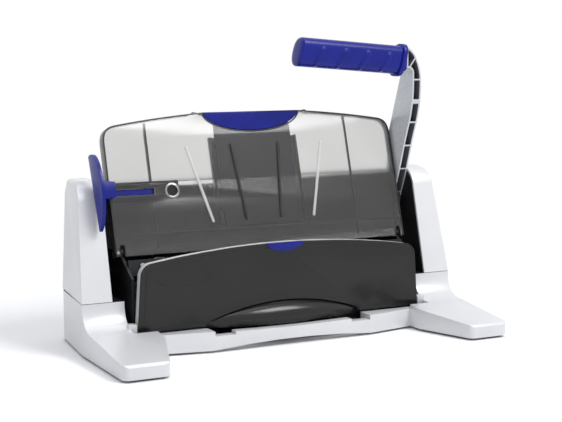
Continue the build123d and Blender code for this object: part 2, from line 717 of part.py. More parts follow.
HOPPER_TOP = DECK_Z - 0.5
with BuildPart() as chip_chute:
    for inset, mode in ((0, Mode.ADD), (1.6, Mode.SUBTRACT)):
        with BuildSketch(Plane.XY.offset(HOPPER_TOP)):
            with Locations((0, 3.5)):
                Rectangle(2 * (FRAME_INNER - 0.2 - inset), 22 - 2 * inset)
        with BuildSketch(Plane.XY.offset(HOPPER_BOTTOM)):
            with Locations((0, 15)):
                Rectangle(2 * (TRAY_HALF - 4 - inset), 45 - 2 * inset)
        loft(mode=mode)
save(chip_chute.part, "chip_chute")

# ---- waste drawer ---------------------------------------------------------------------


def pod_solid(inset):
    """Curved drawer front: an arc turned about the door's axis, with a skirt below it."""
    half = POD_HALF + 2 - 4 * inset
    rise = POD_RISE - inset
    axis_y = DOOR_AXIS_Y
    with BuildPart() as pod:
        with BuildSketch(front_plane(axis_y)):
            with BuildLine():
                ThreePointArc((-half, DOOR_AXIS_Z), (0, DOOR_AXIS_Z + rise), (half, DOOR_AXIS_Z))
                Line((half, DOOR_AXIS_Z), (-half, DOOR_AXIS_Z))
            make_face()
        revolve(axis=Axis((0, axis_y, DOOR_AXIS_Z), (1, 0, 0)), revolution_arc=90)
        with BuildSketch(Plane.XY.offset(POD_BOTTOM_Z)):
            with BuildLine():
                ThreePointArc((-half, axis_y), (0, axis_y - rise), (half, axis_y))
                Line((half, axis_y), (-half, axis_y))
            make_face()
        extrude(amount=DOOR_AXIS_Z - POD_BOTTOM_Z)
        with Locations((0, axis_y, DOOR_AXIS_Z)):
            Box(2 * (POD_HALF - 4 * inset), 80, 80, mode=Mode.INTERSECT)
    return pod.part


pod_outer = pod_solid(0)
pod_inner = pod_solid(POD_WALL)
with BuildPart() as drawer_front:
    add(pod_outer)
    add(pod_inner, mode=Mode.SUBTRACT)
save(drawer_front.part, "drawer_front")

with BuildPart() as drawer_tray:
    tray_length = TRAY_BACK_Y - DOOR_AXIS_Y
    with BuildSketch(Plane.XY.offset(TRAY_FLOOR_Z)):
        with Locations((0, (TRAY_BACK_Y + DOOR_AXIS_Y) / 2)):
            Rectangle(2 * TRAY_HALF, tray_length)
    extrude(amount=TRAY_TOP_Z - TRAY_FLOOR_Z)
    with BuildSketch(Plane.XY.offset(TRAY_FLOOR_Z + TRAY_WALL)):
        with Locations((0, (TRAY_BACK_Y + DOOR_AXIS_Y) / 2)):
            Rectangle(2 * (TRAY_HALF - TRAY_WALL), tray_length - 2 * TRAY_WALL)
    extrude(amount=TRAY_TOP_Z, mode=Mode.SUBTRACT)
    # wall that closes the hollow front
    with BuildSketch(front_plane(DOOR_AXIS_Y)):
        with BuildLine():
            ThreePointArc(
                (-POD_HALF, DOOR_AXIS_Z), (0, DOOR_AXIS_Z + POD_RISE), (POD_HALF, DOOR_AXIS_Z)
            )
            Polyline(
                (POD_HALF, DOOR_AXIS_Z),
                (POD_HALF, POD_BOTTOM_Z),
                (-POD_HALF, POD_BOTTOM_Z),
                (-POD_HALF, DOOR_AXIS_Z),
            )
        make_face()
    extrude(amount=-TRAY_WALL)
save(drawer_tray.part, "drawer_tray")

with BuildPart() as drawer_runners:
    for side in (-1, 1):
        with Locations((side * (TRAY_HALF + 0.3 + 1.5), 24, FLOOR_TOP + 12)):
            Box(3, 68, 24)
        with Locations((side * (TRAY_HALF - 1), 24, TRAY_FLOOR_Z - 1.1)):
            Box(5.6, 68, 1.6)
save(drawer_runners.part, "drawer_runners")

# ---- front door -------------------------------------------------------------------------
ARCH_HALF = POD_HALF + 1.0
ARCH_TOP_Z = DOOR_AXIS_Z + POD_RISE + 0.4


def door_outline(inset, arch_inset=0.0):
    """The door from the front, with its arched cut-out."""
    with BuildSketch(front_plane(DOOR_FRONT_Y)) as outline:
        with BuildLine():
            half = DOOR_HALF - inset
            bottom = DOOR_BOTTOM_Z + inset
            shoulder = (half - 4.5, DOOR_SHOULDER_Z - inset)
            crown = (0, DOOR_TOP_Z - inset)
            ThreePointArc(
                (-ARCH_HALF - arch_inset, DOOR_AXIS_Z),
                (0, ARCH_TOP_Z + arch_inset),
                (ARCH_HALF + arch_inset, DOOR_AXIS_Z),
            )
            Polyline(
                (ARCH_HALF + arch_inset, DOOR_AXIS_Z),
                (ARCH_HALF + arch_inset, bottom),
                (half, bottom),
                shoulder,
            )
            ThreePointArc(shoulder, crown, (-shoulder[0], shoulder[1]))
            Polyline(
                (-shoulder[0], shoulder[1]),
                (-half, bottom),
                (-ARCH_HALF - arch_inset, bottom),
                (-ARCH_HALF - arch_inset, DOOR_AXIS_Z),
            )
        make_face()
        shoulders = outline.vertices().filter_by(lambda p: abs(p.X) > 150 and p.Y > 60)
        fillet(shoulders, radius=DOOR_CORNER - inset)
        feet = outline.vertices().filter_by(lambda p: abs(p.X) > 150 and p.Y < 40)
        fillet(feet, radius=1.2)
    return outline.sketch


with BuildPart() as door_window:
    add(extrude(door_outline(0), amount=-DOOR_SHEET, mode=Mode.PRIVATE))
    ring = door_outline(0) - door_outline(DOOR_STEP, DOOR_STEP)
    add(extrude(ring, amount=-0.6, mode=Mode.PRIVATE), mode=Mode.SUBTRACT)
    with BuildSketch(front_plane(DOOR_FRONT_Y)):
        with Locations((0, DOOR_TOP_Z)):
            Ellipse(DOOR_TAB_HALF, DOOR_TAB_DEPTH)
    extrude(amount=-DOOR_SHEET, mode=Mode.SUBTRACT)
    with BuildSketch(front_plane(DOOR_FRONT_Y)):
        with Locations((LABEL_X, LABEL_Z)):
            Ellipse(31, 8.5)
    extrude(amount=-0.5, mode=Mode.SUBTRACT)
save(door_window.part, "door_window")

with BuildPart() as door_frame:
    band = door_outline(0.3) - door_outline(0.3 + DOOR_WALL, -20)
    add(extrude(band, amount=-DOOR_DEPTH, mode=Mode.PRIVATE))
    with Locations((0, DOOR_FRONT_Y - 7.5 + DOOR_SHEET, 70)):
        Box(400, 15, 150, mode=Mode.SUBTRACT)
    with Locations((0, DOOR_FRONT_Y, 30)):
        Box(2 * ARCH_HALF + 4, 60, 60, mode=Mode.SUBTRACT)
    across(-190, 190, DOOR_AXIS_Y, DOOR_AXIS_Z, DOOR_PIN + FIT, Mode.SUBTRACT)
save(door_frame.part, "door_frame")

with BuildPart() as door_tab:
    with BuildSketch(front_plane(DOOR_FRONT_Y - 0.6)):
        with Locations((0, DOOR_TOP_Z)):
            Ellipse(DOOR_TAB_HALF - GAP, DOOR_TAB_DEPTH - GAP)
        with Locations((0, DOOR_TOP_Z + 9.9)):
            Rectangle(100, 20, mode=Mode.SUBTRACT)
    extrude(amount=-DOOR_SHEET - 0.6)
save(door_tab.part, "door_tab")

with BuildPart() as door_hinge_pins:
    for side in (-1, 1):
        across(side * (DOOR_HALF - 5.5), side * (EAR_X + 4.5), DOOR_AXIS_Y, DOOR_AXIS_Z, DOOR_PIN - 0.01)
save(door_hinge_pins.part, "door_hinge_pins")

# ---- paper support ------------------------------------------------------------------------
STRIP_W = -SUPPORT_SHEET - GAP          # front face of the extension strip


def support_outline(inset):
    with BuildSketch(PAPER) as outline:
        with BuildLine():
            half = SUPPORT_HALF - inset
            low = SUPPORT_BOTTOM - 1 if inset else SUPPORT_BOTTOM
            right = [
                (half, low),
                (half - 1, SUPPORT_SHOULDER - 10),
                (half - 12, SUPPORT_SHOULDER - inset),
                (TAB_HALF, SUPPORT_TOP - inset),
            ]
            Polyline(*right, *[(-x, v) for x, v in reversed(right)], close=True)
        make_face()
        corners = outline.vertices().filter_by(lambda p: abs(p.X) > 150).group_by(Axis.Z)[1:]
        fillet([c for group in corners for c in group], radius=9)
    return outline.sketch


def raised_line(x0, v0, x1, v1, width):
    """A rounded bar in the paper plane from one point to another."""
    with Locations(((x0 + x1) / 2, (v0 + v1) / 2)):
        SlotOverall(
            sqrt((x1 - x0) ** 2 + (v1 - v0) ** 2) + width,
            width,
            rotation=degrees(atan2(v1 - v0, x1 - x0)),
        )


with BuildPart() as support_panel:
    add(extrude(support_outline(0), amount=-SUPPORT_DEPTH, mode=Mode.PRIVATE))
    hollow = Location(PAPER.z_dir * -SUPPORT_SHEET) * support_outline(SUPPORT_SHEET)
    add(extrude(hollow, amount=-SUPPORT_DEPTH, mode=Mode.PRIVATE), mode=Mode.SUBTRACT)
    # ribs behind the sheet
    with BuildSketch(PAPER.offset(-SUPPORT_SHEET - BACK_RIB_DEPTH)):
        for x in (-128.0, 119.0):
            with Locations((x, 175)):
                Rectangle(BACK_RIB, 132)
        with Locations((0, 124.3)):
            Rectangle(2 * SUPPORT_HALF - 4, BACK_RIB)
        for side in (-1, 1):
            with Locations((side * (RAIL_X + RAIL_WALL / 2), 178)):
                Rectangle(RAIL_WALL, 98)
    extrude(amount=BACK_RIB_DEPTH)
    with BuildSketch(PAPER.offset(-SUPPORT_SHEET - BACK_RIB_DEPTH - 2)):
        for side in (-1, 1):
            with Locations((side * (RAIL_X - 2), 178)):
                Rectangle(8.5, 98)
    extrude(amount=2)
    # ribs on the front that the paper slides on
    with BuildSketch(PAPER):
        for side in (-1, 1):
            raised_line(side * 83.6, 216.7, side * 62.3, 133.7, 3.4)
            raised_line(side * 29.2, 218.0, side * 21.3, 134.5, 3.4)
    extrude(amount=1.0)
    # notch for the tab, slot for the strip
    with BuildSketch(PAPER):
        with Locations((0, SUPPORT_TOP)):
            Ellipse(TAB_HALF, TAB_DEPTH)
    extrude(amount=-SUPPORT_SHEET - 2 * GAP, mode=Mode.SUBTRACT)
    with BuildSketch(PAPER.offset(-SUPPORT_SHEET)):
        with Locations((0, SUPPORT_TOP)):
            Rectangle(2 * RAIL_X, 10)
    extrude(amount=-STRIP_THICK - 2 * GAP, mode=Mode.SUBTRACT)
    # edge guide: slot, way in through the side, round window
    with BuildSketch(PAPER):
        with Locations((sum(SLOT_X) / 2, GUIDE_V)):
            Rectangle(SLOT_X[1] - SLOT_X[0], 2 * SLOT_HALF)
        with Locations((RING_X, GUIDE_V - 0.5)):
            Circle(RING_OUTER + FIT)
    extrude(amount=-SUPPORT_SHEET, mode=Mode.SUBTRACT)
    with BuildSketch(PAPER.offset(-SUPPORT_SHEET)):
        with Locations((-SUPPORT_HALF, GUIDE_V)):
            Rectangle(8, 2 * (GUIDE_HALF + GAP))
    extrude(amount=-STRIP_THICK - 2 * GAP, mode=Mode.SUBTRACT)
    with BuildSketch(PAPER.offset(-SUPPORT_SHEET)):
        with Locations((sum(CHANNEL_X) / 2, GUIDE_V)):
            Rectangle(CHANNEL_X[1] - CHANNEL_X[0], 2 * (CHANNEL_HALF + GAP))
    extrude(amount=-BACK_RIB_DEPTH, mode=Mode.SUBTRACT)
    # room for the mechanism plates at the hinge
    with BuildSketch(PAPER.offset(1)):
        with Locations(*[(side * (FRAME_INNER + FRAME_PLATE / 2), SUPPORT_BOTTOM) for side in (-1, 1)]):
            Rectangle(FRAME_PLATE + 3, 24)
    extrude(amount=-SUPPORT_SHEET - 2, mode=Mode.SUBTRACT)
    across(-190, 190, SUPPORT_AXIS.Y, SUPPORT_AXIS.Z, HINGE_PIN + FIT, Mode.SUBTRACT)
save(support_panel.part, "support_panel")

with BuildPart() as support_hinge_pins:
    for side in (-1, 1):
        across(
            side * FRAME_INNER,
            side * (SUPPORT_HALF - 0.5),
            SUPPORT_AXIS.Y,
            SUPPORT_AXIS.Z,
            HINGE_PIN - 0.01,
        )
save(support_hinge_pins.part, "support_hinge_pins")

with BuildPart() as guide_channel:
    with BuildSketch(PAPER.offset(-SUPPORT_SHEET)):
        with Locations((sum(CHANNEL_X) / 2, GUIDE_V)):
            Rectangle(CHANNEL_X[1] - CHANNEL_X[0], 2 * CHANNEL_HALF)
    extrude(amount=-CHANNEL_DEPTH)
    with BuildSketch(PAPER.offset(-SUPPORT_SHEET)):
        with Locations((sum(CHANNEL_X) / 2 - 2, GUIDE_V)):
            Rectangle(CHANNEL_X[1] - CHANNEL_X[0], 2 * (GUIDE_HALF + GAP))
        with Locations((RING_X, GUIDE_V - 0.5)):
            Circle(RING_INNER)
    extrude(amount=-STRIP_THICK - 2 * GAP, mode=Mode.SUBTRACT)
save(guide_channel.part, "guide_channel")

with BuildPart() as sight_ring:
    with BuildSketch(PAPER.offset(0.6)):
        with Locations((RING_X, GUIDE_V - 0.5)):
            Circle(RING_OUTER)
            Circle(RING_INNER, mode=Mode.SUBTRACT)
    extrude(amount=-SUPPORT_SHEET - 0.6)
save(sight_ring.part, "sight_ring")
with BuildPart() as sight_lens:
    with BuildSketch(PAPER.offset(-1.0)):
        with Locations((RING_X, GUIDE_V - 0.5)):
            Circle(RING_INNER - 0.01)
    extrude(amount=-1.2)
save(sight_lens.part, "sight_lens")

with BuildPart() as extension_strip:
    with BuildSketch(PAPER.offset(STRIP_W)):
        with Locations((0, (SUPPORT_TOP - 2 + 127) / 2)):
            Rectangle(2 * STRIP_HALF, SUPPORT_TOP - 2 - 127)
        for side in (-1, 1):
            for v in (148.0, 220.5):
                with Locations((side * STRIP_HALF, v)):
                    Circle(3)
    extrude(amount=-STRIP_THICK)
save(extension_strip.part, "extension_strip")

with BuildPart() as extension_tab:
    with BuildSketch(PAPER):
        with Locations((0, SUPPORT_TOP)):
            Ellipse(TAB_HALF - GAP, TAB_DEPTH - GAP)
            with Locations((0, 25)):
                Rectangle(200, 50, mode=Mode.SUBTRACT)
    extrude(amount=STRIP_W)
save(extension_tab.part, "extension_tab")

# ---- edge guide ------------------------------------------------------------------------------
with BuildPart() as edge_guide:
    with BuildSketch(section_plane(FENCE_X[0])):
        with BuildLine():
            lean = radians(FENCE_LEAN)
            y, z = FENCE_CENTRE
            low = (y - FENCE_RADIUS * sin(lean), z - FENCE_RADIUS * cos(lean))
            out = (y - FENCE_RADIUS * cos(lean), z + FENCE_RADIUS * sin(lean))
            high = (y + FENCE_RADIUS * sin(lean), z + FENCE_RADIUS * cos(lean))
            ThreePointArc(low, out, high)
            Line(high, low)
        make_face()
    extrude(amount=FENCE_X[1] - FENCE_X[0])
    with BuildSketch(PAPER.offset(HUB_ARM_W[0])):
        with Locations(((FENCE_X[1] + HUB_X[1]) / 2, GUIDE_V)):
            Rectangle(HUB_X[1] - FENCE_X[1], 2 * HUB_HALF)
    extrude(amount=HUB_ARM_W[1] - HUB_ARM_W[0])
    with BuildSketch(PAPER.offset(HUB_BACK_W)):
        with Locations((sum(HUB_X) / 2, GUIDE_V)):
            Rectangle(HUB_X[1] - HUB_X[0], 2 * HUB_HALF)
    extrude(amount=HUB_ARM_W[1] - HUB_BACK_W)
    with BuildSketch(PAPER.offset(STRIP_W)):
        with Locations(((STRIP_END + HUB_X[1]) / 2, GUIDE_V)):
            Rectangle(STRIP_END - HUB_X[1], 2 * GUIDE_HALF)
    extrude(amount=-STRIP_THICK + GAP)
save(edge_guide.part, "edge_guide")

# ---- covers behind the paper support ---------------------------------------------------------------
THROAT_BACK_Y = REAR_Y - BASE_WALL - 0.2


def throat_outline(inset):
    low = paper_plane(THROAT_V0, THROAT_W - inset).origin
    high = paper_plane(176, THROAT_W - inset).origin
    floor = low.Z - (5 if inset else 0)
    with BuildSketch(section_plane(THROAT_LEFT)) as outline:
        with BuildLine():
            Polyline(
                (low.Y - (1.5 if inset else 0), floor),
                (high.Y, THROAT_TOP_Z - inset),
                (THROAT_BACK_Y - inset, THROAT_TOP_Z - inset),
                (THROAT_BACK_Y - inset, floor),
                close=True,
            )
        make_face()
        fillet(outline.vertices().group_by(Axis.Z)[-1].sort_by(Axis.Y)[0], radius=14 - inset)
    return outline.sketch


with BuildPart() as throat_cover:
    add(extrude(throat_outline(0), amount=THROAT_RIGHT - THROAT_LEFT, mode=Mode.PRIVATE))
    hollow = extrude(
        throat_outline(THROAT_WALL),
        amount=THROAT_RIGHT - THROAT_LEFT - 2 * THROAT_WALL,
        mode=Mode.PRIVATE,
    )
    add(hollow.moved(Location((THROAT_WALL, 0, 0))), mode=Mode.SUBTRACT)
save(throat_cover.part, "throat_cover")

with BuildPart() as rear_cover:
    with BuildSketch(front_plane(REAR_Y - BASE_WALL)) as sheet:
        with Locations((0, (TOWER_JOINT_Z + THROAT_TOP_Z) / 2)):
            Rectangle(2 * (TOWER_INNER - 0.4), THROAT_TOP_Z - TOWER_JOINT_Z)
        fillet(sheet.vertices().group_by(Axis.Y)[-1], radius=8)
    extrude(amount=-BASE_WALL)
save(rear_cover.part, "rear_cover")

# ---- fasteners -----------------------------------------------------------------------------------------
with BuildPart() as base_screws:
    spots = [(side * 160, y) for side in (-1, 1) for y in (-10, 80)]
    spots += [(side * 200, y) for side in (-1, 1) for y in (-60, 20)]
    with Locations(*[(x, y, PAD_HEIGHT - 0.6) for x, y in spots]):
        Cylinder(3.2, 1.2)
save(base_screws.part, "base_screws")
with BuildPart() as die_screws:
    with BuildSketch(paper_plane(PIN_V, THROAT + DIE_THICK)):
        with Locations((-153, 0), (153, 0)):
            Circle(3)
    extrude(amount=2.4)
save(die_screws.part, "die_screws")
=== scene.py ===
import json
import math

import bmesh
import bpy
from mathutils import Matrix, Vector
from mathutils.bvhtree import BVHTree


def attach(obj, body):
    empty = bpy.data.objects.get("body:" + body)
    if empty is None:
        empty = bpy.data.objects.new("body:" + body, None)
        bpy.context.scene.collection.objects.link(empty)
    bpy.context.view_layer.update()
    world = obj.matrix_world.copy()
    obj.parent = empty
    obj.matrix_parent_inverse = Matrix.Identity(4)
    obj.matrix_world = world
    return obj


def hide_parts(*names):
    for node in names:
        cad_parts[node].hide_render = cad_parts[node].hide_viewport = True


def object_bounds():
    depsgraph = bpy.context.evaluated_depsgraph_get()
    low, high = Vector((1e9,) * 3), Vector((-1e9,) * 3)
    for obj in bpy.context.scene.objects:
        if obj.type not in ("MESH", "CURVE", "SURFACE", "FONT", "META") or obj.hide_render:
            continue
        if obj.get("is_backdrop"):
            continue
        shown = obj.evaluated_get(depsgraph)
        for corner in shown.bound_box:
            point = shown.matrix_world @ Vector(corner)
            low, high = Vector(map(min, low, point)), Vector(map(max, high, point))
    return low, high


# Desk punch and comb binder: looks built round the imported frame. Metres, +X right, +Y back, +Z up.

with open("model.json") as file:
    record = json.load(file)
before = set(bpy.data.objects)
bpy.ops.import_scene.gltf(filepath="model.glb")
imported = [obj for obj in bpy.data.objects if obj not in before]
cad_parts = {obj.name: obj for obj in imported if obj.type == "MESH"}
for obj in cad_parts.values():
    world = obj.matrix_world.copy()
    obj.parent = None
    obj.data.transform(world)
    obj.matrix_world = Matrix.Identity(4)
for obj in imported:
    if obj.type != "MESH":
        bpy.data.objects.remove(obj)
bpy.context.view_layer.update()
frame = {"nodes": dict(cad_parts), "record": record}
nodes = frame["nodes"]
MM = 0.001

# ---- camera, light and floor -------------------------------------------------------------------
CAMERA_PLACE = (-0.6499, -1.2732, 0.3213)
CAMERA_YAW = 27.2       # degrees, to the right of +Y
CAMERA_DIP = 7.27       # degrees below the horizon
CAMERA_LENS = 84.88     # millimetres, on a sensor 36 mm wide
CAMERA_SENSOR = 36
CAMERA_REACH = 60       # metres

yaw, dip = math.radians(CAMERA_YAW), math.radians(CAMERA_DIP)
look = Vector((math.sin(yaw) * math.cos(dip), math.cos(yaw) * math.cos(dip), -math.sin(dip)))
camera = bpy.data.objects.new("camera", bpy.data.cameras.new("camera"))
bpy.context.scene.collection.objects.link(camera)
camera.location = CAMERA_PLACE
camera.rotation_mode = "QUATERNION"
camera.rotation_quaternion = look.to_track_quat("-Z", "Y")
camera.data.lens = CAMERA_LENS
camera.data.sensor_width = CAMERA_SENSOR
camera.data.clip_end = CAMERA_REACH
bpy.context.scene.camera = camera
bpy.context.scene.view_settings.view_transform = "Standard"


def linear(hex_colour):
    """sRGB hex to the linear colour that Blender's sockets take."""
    parts = [int(hex_colour[i:i + 2], 16) / 255 for i in (1, 3, 5)]
    curve = [p / 12.92 if p <= 0.04045 else ((p + 0.055) / 1.055) ** 2.4 for p in parts]
    return (*curve, 1)


def node(tree, kind, inputs=None, **settings):
    """Adds a node with its settings; an input is a value or the socket that feeds it."""
    made = tree.nodes.new(kind)
    for name, value in settings.items():
        setattr(made, name, value)
    for name, value in (inputs or {}).items():
        if isinstance(value, bpy.types.NodeSocket):
            tree.links.new(value, made.inputs[name])
        else:
            made.inputs[name].default_value = value
    return made


def soft_lamp(name, place, target, size, power):
    """A rectangular lamp aimed at a point: place and size in metres, power in watts."""
    lamp = bpy.data.lights.new(name, "AREA")
    lamp.shape = "RECTANGLE"
    lamp.size, lamp.size_y = size
    lamp.energy = power
    holder = bpy.data.objects.new(name, lamp)
    holder.location = place
    aim = Vector(target) - Vector(place)
    holder.rotation_euler = aim.to_track_quat("-Z", "Y").to_euler()
    bpy.context.scene.collection.objects.link(holder)


CENTRE = (0, 0, 0.13)
soft_lamp("top_softbox", (-0.1, 0.1, 2.4), CENTRE, (2.4, 1.8), 20)
soft_lamp("key_softbox", (1.0, -1.5, 2.2), CENTRE, (1.1, 1.1), 42)

ROOM_LIGHT = 0.52       # what the room sends to matt surfaces
world = bpy.data.worlds.new("studio")
bpy.context.scene.world = world
world.use_nodes = True
tree = world.node_tree
tree.nodes.clear()
ray = node(tree, "ShaderNodeLightPath")
seen = ray.outputs["Is Camera Ray"]
for kind in ("Is Glossy Ray", "Is Transmission Ray"):
    seen = node(tree, "ShaderNodeMath", {0: seen, 1: ray.outputs[kind]}, operation="MAXIMUM").outputs[0]
room = node(tree, "ShaderNodeBackground", {"Color": linear("#F7F9FF"), "Strength": ROOM_LIGHT})
paper = node(tree, "ShaderNodeBackground", {"Color": (1, 1, 1, 1), "Strength": 1.0})
both = node(tree, "ShaderNodeMixShader", {0: seen, 1: room.outputs[0], 2: paper.outputs[0]})
node(tree, "ShaderNodeOutputWorld", {"Surface": both.outputs[0]})

FLOOR_RADIUS = 12
FLOOR_SIDES = 64
FLOOR_NEAR = 0.30       # metres from the middle where the floor starts to turn into plain white
FLOOR_FAR = 0.75        # and where it is plain white


def floor_material():
    """White photographic paper, lit near the object and plain white further out."""
    made = bpy.data.materials.new("white_studio_paper")
    made.use_nodes = True
    tree = made.node_tree
    tree.nodes.clear()
    where = node(tree, "ShaderNodeTexCoord")
    reach = node(tree, "ShaderNodeVectorMath", {0: where.outputs["Object"]}, operation="LENGTH")
    far = node(
        tree, "ShaderNodeMapRange",
        {"Value": reach.outputs["Value"], "From Min": FLOOR_NEAR, "From Max": FLOOR_FAR},
        interpolation_type="SMOOTHSTEP",
    )
    matt = node(tree, "ShaderNodeBsdfDiffuse", {"Color": linear("#FCFCFC")})
    plain = node(tree, "ShaderNodeEmission", {"Color": (1, 1, 1, 1), "Strength": 1.0})
    mixed = node(
        tree, "ShaderNodeMixShader", {0: far.outputs["Result"], 1: matt.outputs[0], 2: plain.outputs[0]}
    )
    node(tree, "ShaderNodeOutputMaterial", {"Surface": mixed.outputs[0]})
    return made


def flat_disc(name, radius, sides):
    """A flat disc on the table plane."""
    mesh = bpy.data.meshes.new(name)
    shape = bmesh.new()
    bmesh.ops.create_circle(shape, cap_ends=True, radius=radius, segments=sides)
    shape.to_mesh(mesh)
    shape.free()
    made = bpy.data.objects.new(name, mesh)
    bpy.context.scene.collection.objects.link(made)
    return made


floor = flat_disc("floor", FLOOR_RADIUS, FLOOR_SIDES)
floor.data.materials.append(floor_material())
floor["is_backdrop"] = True


# ---- materials ---------------------------------------------------------------------------------
NOISE_SPAN = {"From Min": 0.3, "From Max": 0.7}     # where nearly all of a noise texture's values lie
GRAIN_DEPTH = 0.2 * MM


def surface(name, dark, light, patch_mm, rough, rough_spread, grain_mm, bump, **shader):
    """A principled surface whose colour drifts between two tones, with a fine moulded or sprayed grain.

    Patches and grain have real sizes. The grain moves the roughness and, by bump, the relief.
    """
    made = bpy.data.materials.new(name)
    made.use_nodes = True
    tree = made.node_tree
    tree.nodes.clear()
    where = node(tree, "ShaderNodeTexCoord").outputs["Object"]
    patch = node(
        tree, "ShaderNodeTexNoise", {"Vector": where, "Scale": 1 / (patch_mm * MM), "Detail": 3.0}
    )
    grain = node(
        tree, "ShaderNodeTexNoise", {"Vector": where, "Scale": 1 / (grain_mm * MM), "Detail": 2.0}
    )
    tone = node(tree, "ShaderNodeMapRange", {"Value": patch.outputs[0], **NOISE_SPAN})
    colour = node(
        tree, "ShaderNodeMix", {0: tone.outputs[0], 6: linear(dark), 7: linear(light)}, data_type="RGBA"
    )
    gloss = node(
        tree, "ShaderNodeMapRange",
        {"Value": grain.outputs[0], **NOISE_SPAN,
         "To Min": rough - rough_spread, "To Max": rough + rough_spread},
    )
    relief = node(
        tree, "ShaderNodeBump",
        {"Height": grain.outputs[0], "Strength": bump, "Distance": GRAIN_DEPTH},
    )
    sheen = node(
        tree, "ShaderNodeBsdfPrincipled",
        {"Base Color": colour.outputs[2], "Roughness": gloss.outputs[0],
         "Normal": relief.outputs[0], **shader},
    )
    node(tree, "ShaderNodeOutputMaterial", {"Surface": sheen.outputs[0]})
    return made


# Sprayed silver lacquer on moulded ABS: pale, satin, with a faint flake drawn coarser than life.
SILVER = surface("silver_lacquer_on_abs", "#D4D5D8", "#DADBDD", 45, 0.38, 0.05, 1.1, 0.04, Metallic=0.2)
# The lever: the same lacquer on die-cast metal, a little darker and smoother.
LEVER = surface(
    "silver_lacquer_on_die_casting", "#C4C7CD", "#CFD2D7", 40, 0.30, 0.05, 1.1, 0.04, Metallic=0.35
)
# Painted shade inside the lever's cells: grey and dull, without the lacquer's sheen, standing for the
# shade that falls there.
CELL_SHADE = surface("painted_shade_in_lever_cells", "#5A5B62", "#686970", 12, 0.6, 0.08, 1.0, 0.2)
# Smoked polycarbonate sheet with a finely etched back, so what lies behind it blurs with distance.
SMOKED = surface(
    "smoked_polycarbonate", "#CFCFCE", "#D3D3D2", 60, 0.22, 0.02, 1.0, 0.0,
    **{"Transmission Weight": 1.0, "IOR": 1.5, "Specular IOR Level": 0.3},
)
# The same plastic in ribs, edges and the inner raised lines, painted nearly black as the shade it shows
# where light runs along it.
SMOKED_PAINTED_DARK = surface(
    "smoked_polycarbonate_painted_dark", "#1C1C1E", "#262628", 20, 0.3, 0.03, 1.0, 0.02,
    **{"Transmission Weight": 0.3, "IOR": 1.5},
)
# Its deep side walls, seen from outside: the same plastic, painted mid grey and half clear for the
# light and shade they show there.
SMOKED_WALL_PAINTED_LIGHT = surface(
    "smoked_polycarbonate_wall_painted_light", "#6E6F70", "#7A7B7C", 20, 0.28, 0.03, 1.0, 0.02,
    **{"Transmission Weight": 0.7, "IOR": 1.5},
)
# Raised lines that the paper slides on, the outer pair: polished smoked plastic, painted pale as the
# highlight that runs along their crowns.
RIDGE_HIGHLIGHT = surface(
    "smoked_ridge_painted_highlight", "#EDEEEE", "#F6F6F6", 10, 0.16, 0.03, 0.9, 0.02,
    **{"Transmission Weight": 0.45, "IOR": 1.5},
)
# Door and drawer front: a darker tint, polished on the outside.
DOOR = surface(
    "dark_smoked_polycarbonate", "#2C2B2C", "#343332", 70, 0.2, 0.02, 1.0, 0.0,
    **{"Transmission Weight": 0.7, "IOR": 1.45, "Specular IOR Level": 0.35},
)
# Blue ABS, polished in the mould: saturated with a clear highlight.
BLUE = surface(
    "polished_blue_abs", "#0A1678", "#0D1B84", 25, 0.27, 0.02, 0.5, 0.01,
    **{"Specular IOR Level": 0.28},
)
# Black ABS with a spark-eroded texture: soft broken highlight.
BLACK = surface(
    "textured_black_abs", "#131314", "#1C1C1E", 18, 0.5, 0.08, 0.9, 0.2, **{"Specular IOR Level": 0.25}
)
# Dark slate ABS of the extension strip.
SLATE = surface(
    "dark_slate_abs", "#22232E", "#292A36", 25, 0.42, 0.05, 0.9, 0.06, **{"Specular IOR Level": 0.15}
)
# Zinc-plated pressed sheet.
ZINC = surface("zinc_plated_sheet", "#A9ACB0", "#BBBEC2", 9, 0.34, 0.09, 0.8, 0.1, Metallic=1.0)
# Ground tool steel of pins, rods and shaft.
GROUND = surface("ground_tool_steel", "#9B9DA1", "#B0B2B5", 5, 0.22, 0.06, 0.8, 0.05, Metallic=1.0)
# Black coated sheet steel of the mechanism's frame.
COATED = surface(
    "black_coated_steel", "#17181A", "#202124", 14, 0.48, 0.06, 0.9, 0.1, **{"Specular IOR Level": 0.25}
)
# Chrome-plated trim ring.
CHROME = surface("satin_chrome_ring", "#6E7074", "#A9ABAF", 5, 0.22, 0.04, 0.9, 0.02, Metallic=1.0)
# Moulded rubber feet.
RUBBER = surface("moulded_black_rubber", "#101010", "#1A1A1A", 10, 0.7, 0.08, 0.8, 0.3)

FINISH = {
    "base_shell": SILVER, "right_foot_plate": BLACK, "left_foot_plate": BLACK, "bottom_plate": ZINC,
    "foot_pads": RUBBER, "right_tower_cover": SILVER, "left_tower_cover": SILVER,
    "right_side_plate": BLACK, "left_side_plate": BLACK, "right_frame_plate": COATED,
    "left_frame_plate": COATED, "shaft_bushes": BLACK, "pin_guide": COATED, "die_plate": COATED,
    "paper_stop": BLACK, "guide_rods": GROUND, "press_bar": COATED, "punch_pins": GROUND,
    "return_springs": GROUND, "drive_shaft": GROUND, "drive_cams": GROUND, "lever_arm": LEVER,
    "lever_grip": BLUE, "lever_screw": GROUND, "shaft_spacer": BLACK, "comb_deck": COATED,
    "comb_rake": ZINC, "hook_bar": ZINC, "comb_hooks": ZINC, "chip_chute": BLACK,
    "drawer_front": DOOR, "drawer_tray": BLACK, "drawer_runners": BLACK, "door_window": DOOR,
    "door_frame": SILVER, "door_tab": BLUE, "door_hinge_pins": GROUND, "support_panel": SMOKED,
    "support_hinge_pins": GROUND, "guide_channel": SLATE, "sight_ring": CHROME, "sight_lens": BLACK,
    "extension_strip": SLATE, "extension_tab": BLUE, "edge_guide": BLUE, "throat_cover": BLACK,
    "rear_cover": SILVER, "base_screws": GROUND, "die_screws": GROUND,
}
for name, material in FINISH.items():
    nodes[name].data.materials.clear()
    nodes[name].data.materials.append(material)

